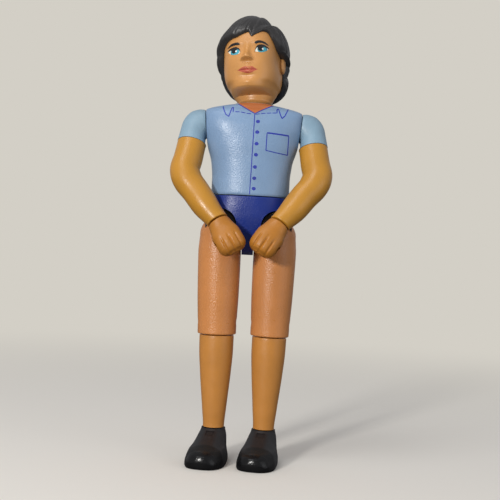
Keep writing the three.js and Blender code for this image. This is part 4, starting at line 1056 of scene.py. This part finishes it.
lip_top = [
    (-3.17, 2.18), (-1.72, 2.83), (-0.57, 3.16), (0.44, 2.92), (1.65, 3.12), (2.72, 2.62), (3.74, 2.15)
]
lip_under = [
    (-3.17, 2.18), (-2.2, 1.73), (-1.03, 1.23), (0.54, 0.9), (1.85, 1.19), (2.71, 1.75), (3.74, 2.15)
]
mouth_line = [(-2.7, 2.12), (-1.4, 2.22), (0.3, 2.1), (1.9, 2.22), (3.2, 2.12)]
paint("lips", (182, 88, 68), 0.33, patch(lip_top, lip_under))
paint("mouth_line", (160, 66, 56), 0.4, pen_line(mouth_line, 0.16, face_y, 0.03))


# Hair: one charcoal moulded cap, thin over the forehead and thick at the sides and back. Locks part
# above the fringe's tip and are swept to both sides, with strands moulded in.
hair_centre = np.array([0, 0, 9.0])
hair_low, hair_high = -4.4, 25.3
hair_at = curves([
    [hair_low, 7.3, 4.2, 8.9, 2],
    [-3.0, 8.8, 5.2, 9.9, 2],
    [0.0, 10.6, 8.0, 11.8, 2.1],
    [3.8, 11.5, 12.4, 12.8, 2.2],
    [8.0, 12.3, 14.0, 13.0, 2.2],
    [11.9, 12.4, 14.4, 13.0, 2.2],
    [15.5, 11.5, 14.2, 12.6, 2.1],
    [19.4, 9.4, 12.2, 11.2, 2],
    [22.5, 6.4, 8.9, 8.5, 2],
    [24.4, 3.1, 4.7, 4.4, 2],
    [hair_high, 0.6, 1.0, 0.9, 2],
])
hairline_rows = [
    [-180, 122], [-160, 118], [-140, 108], [-125, 98], [-113, 84], [-100, 68], [-90, 60], [-80, 54],
    [-68, 45], [-51, 31.5], [-35, 24.4], [-15, 23.4], [3, 24.7], [9, 22], [19, 19.4], [27, 23.8],
    [33, 29.1], [39, 38.3], [48, 44], [59, 46.7], [70, 52], [77, 56.5], [81, 62], [84.5, 76],
    [88, 95], [92, 107], [113, 108], [122, 100], [140, 107], [160, 118], [180, 122],
]
hairline = curves(hairline_rows)
# Grooves between locks: place round the head in degrees, depth, and width in degrees before and after.
front_groove = 6
locks = [
    (front_groove, 0.55, 12, 3),
    (28, 2.4, 8, 6),
    (80, 0.8, 9, 4),
    (110, 0.8, 8, 5),
    (-84, 0.4, 5, 8),
    (-108, 0.7, 6, 10),
]


def reach_to(direction, at, low_z, high_z):
    """How far a ray from the hair's centre runs to a form of level ovals, found by halving the span."""
    near = np.zeros(direction.shape[:-1])
    far = near + 26
    for _ in range(24):
        middle = (near + far) / 2
        x, y, z = np.moveaxis(hair_centre + middle[..., None] * direction, -1, 0)
        half_width, front, back, power = np.moveaxis(at(z), -1, 0)
        depth = np.where(y < 0, front, back)
        outside = np.abs(x / half_width) ** power + np.abs(y / depth) ** power > 1
        outside |= (z > high_z) | (z < low_z)
        near, far = np.where(outside, near, middle), np.where(outside, middle, far)
    return near


around = np.linspace(-180, 180, 420, endpoint=False)[None, :]
edge_angle = 180 - hairline(around)[..., 0]
share = 1 - np.linspace(1, 0.001, 190)[:, None] ** 1.35
tilt = share * edge_angle
beta, alpha = np.radians(around), np.radians(tilt)
direction = stack(np.sin(alpha) * np.sin(beta), np.cos(alpha), np.sin(alpha) * np.cos(beta))
inside = reach_to(direction, head_at, -40, crown_z) + 0.1
inside = np.minimum(inside, reach_to(direction, head_at, chin_z - 0.25, crown_z) + 3)
outside = reach_to(direction, hair_at, hair_low, hair_high)

front_angle = 180 - tilt
hair_radius = 13
to_edge = np.radians(edge_angle - tilt) * hair_radius
lip = np.clip(to_edge / np.interp(front_angle, [20, 60], [1.3, 2.4]), 0, 1)
parting = np.interp(front_angle, [18, 90, 130], [19, 6, 0])
grooves = 0
for place, depth, before, after in locks:
    middle = parting if place == front_groove else place
    away = (around - middle + 180) % 360 - 180
    width = np.where(away < 0, before, after)
    grooves = grooves + depth * np.exp(-np.abs(away) / width) * fade(-front_angle, -150, -110)
pole = unit(np.array([1.6, -9.0, 13.5]))
side_axis = unit(np.cross(pole, [0, 0, 1]))
third = np.cross(side_axis, pole)
turn = np.arctan2(direction @ side_axis, direction @ third)
fall = np.arccos(np.clip(direction @ pole, -1, 1))
sweep = turn + 0.25 * np.sin(2 * fall)
strands = 0
for count, height, bend in ((13, 0.2, 0.8), (29, 0.14, 1.7), (47, 0.1, 2.6), (71, 0.06, 3.5)):
    wave = np.abs(np.sin(count * sweep / 2 + bend * np.sin(3 * fall + bend)))
    strands = strands + height * (wave - 0.6)
strands = strands * fade(fall, 0.08, 0.5)
thickness = np.maximum(outside - inside - grooves + strands, 0.5)
outer = inside + thickness * np.sqrt(1 - (1 - lip) ** 2)
shell = [outer[..., None] * direction, (inside[..., None] * direction)[-2::-6]]
hair = skin(hair_centre + np.concatenate(shell))
hair_plastic = moulded("hair_plastic", (46, 45, 45), 0.42, grain=0.25, height=0.012, mottle=0.12)
piece("hair_cap", on_head(hair), hair_plastic, "head", ["hair"], crease=70)


# Fittings that keep their built shapes: the satin black hip blocks, the off-white studs of the waist
# and neck, and the hip and knee pins of drawn steel wire, streaked along their length.
block_plastic = moulded("block_plastic", (25, 25, 27), 0.42, grain=0.5, height=0.04, mottle=0.12)
stud_plastic = moulded("stud_plastic", (222, 219, 208), 0.4, grain=0.6, height=0.02, mottle=0.03)
pin_steel = moulded("pin_steel", (176, 178, 180), 0.32, grain=0.12, mottle=0.1, stretch=(0.08, 1, 1))
pin_steel.node_tree.nodes["Principled BSDF"].inputs["Metallic"].default_value = 1
fittings = {"hip_block": block_plastic, "stud": stud_plastic, "pin": pin_steel}
for made in bpy.data.objects:
    kind = next((kind for kind in fittings if made.name.endswith(kind)), None)
    if kind:
        made.material_slots[0].material = fittings[kind]
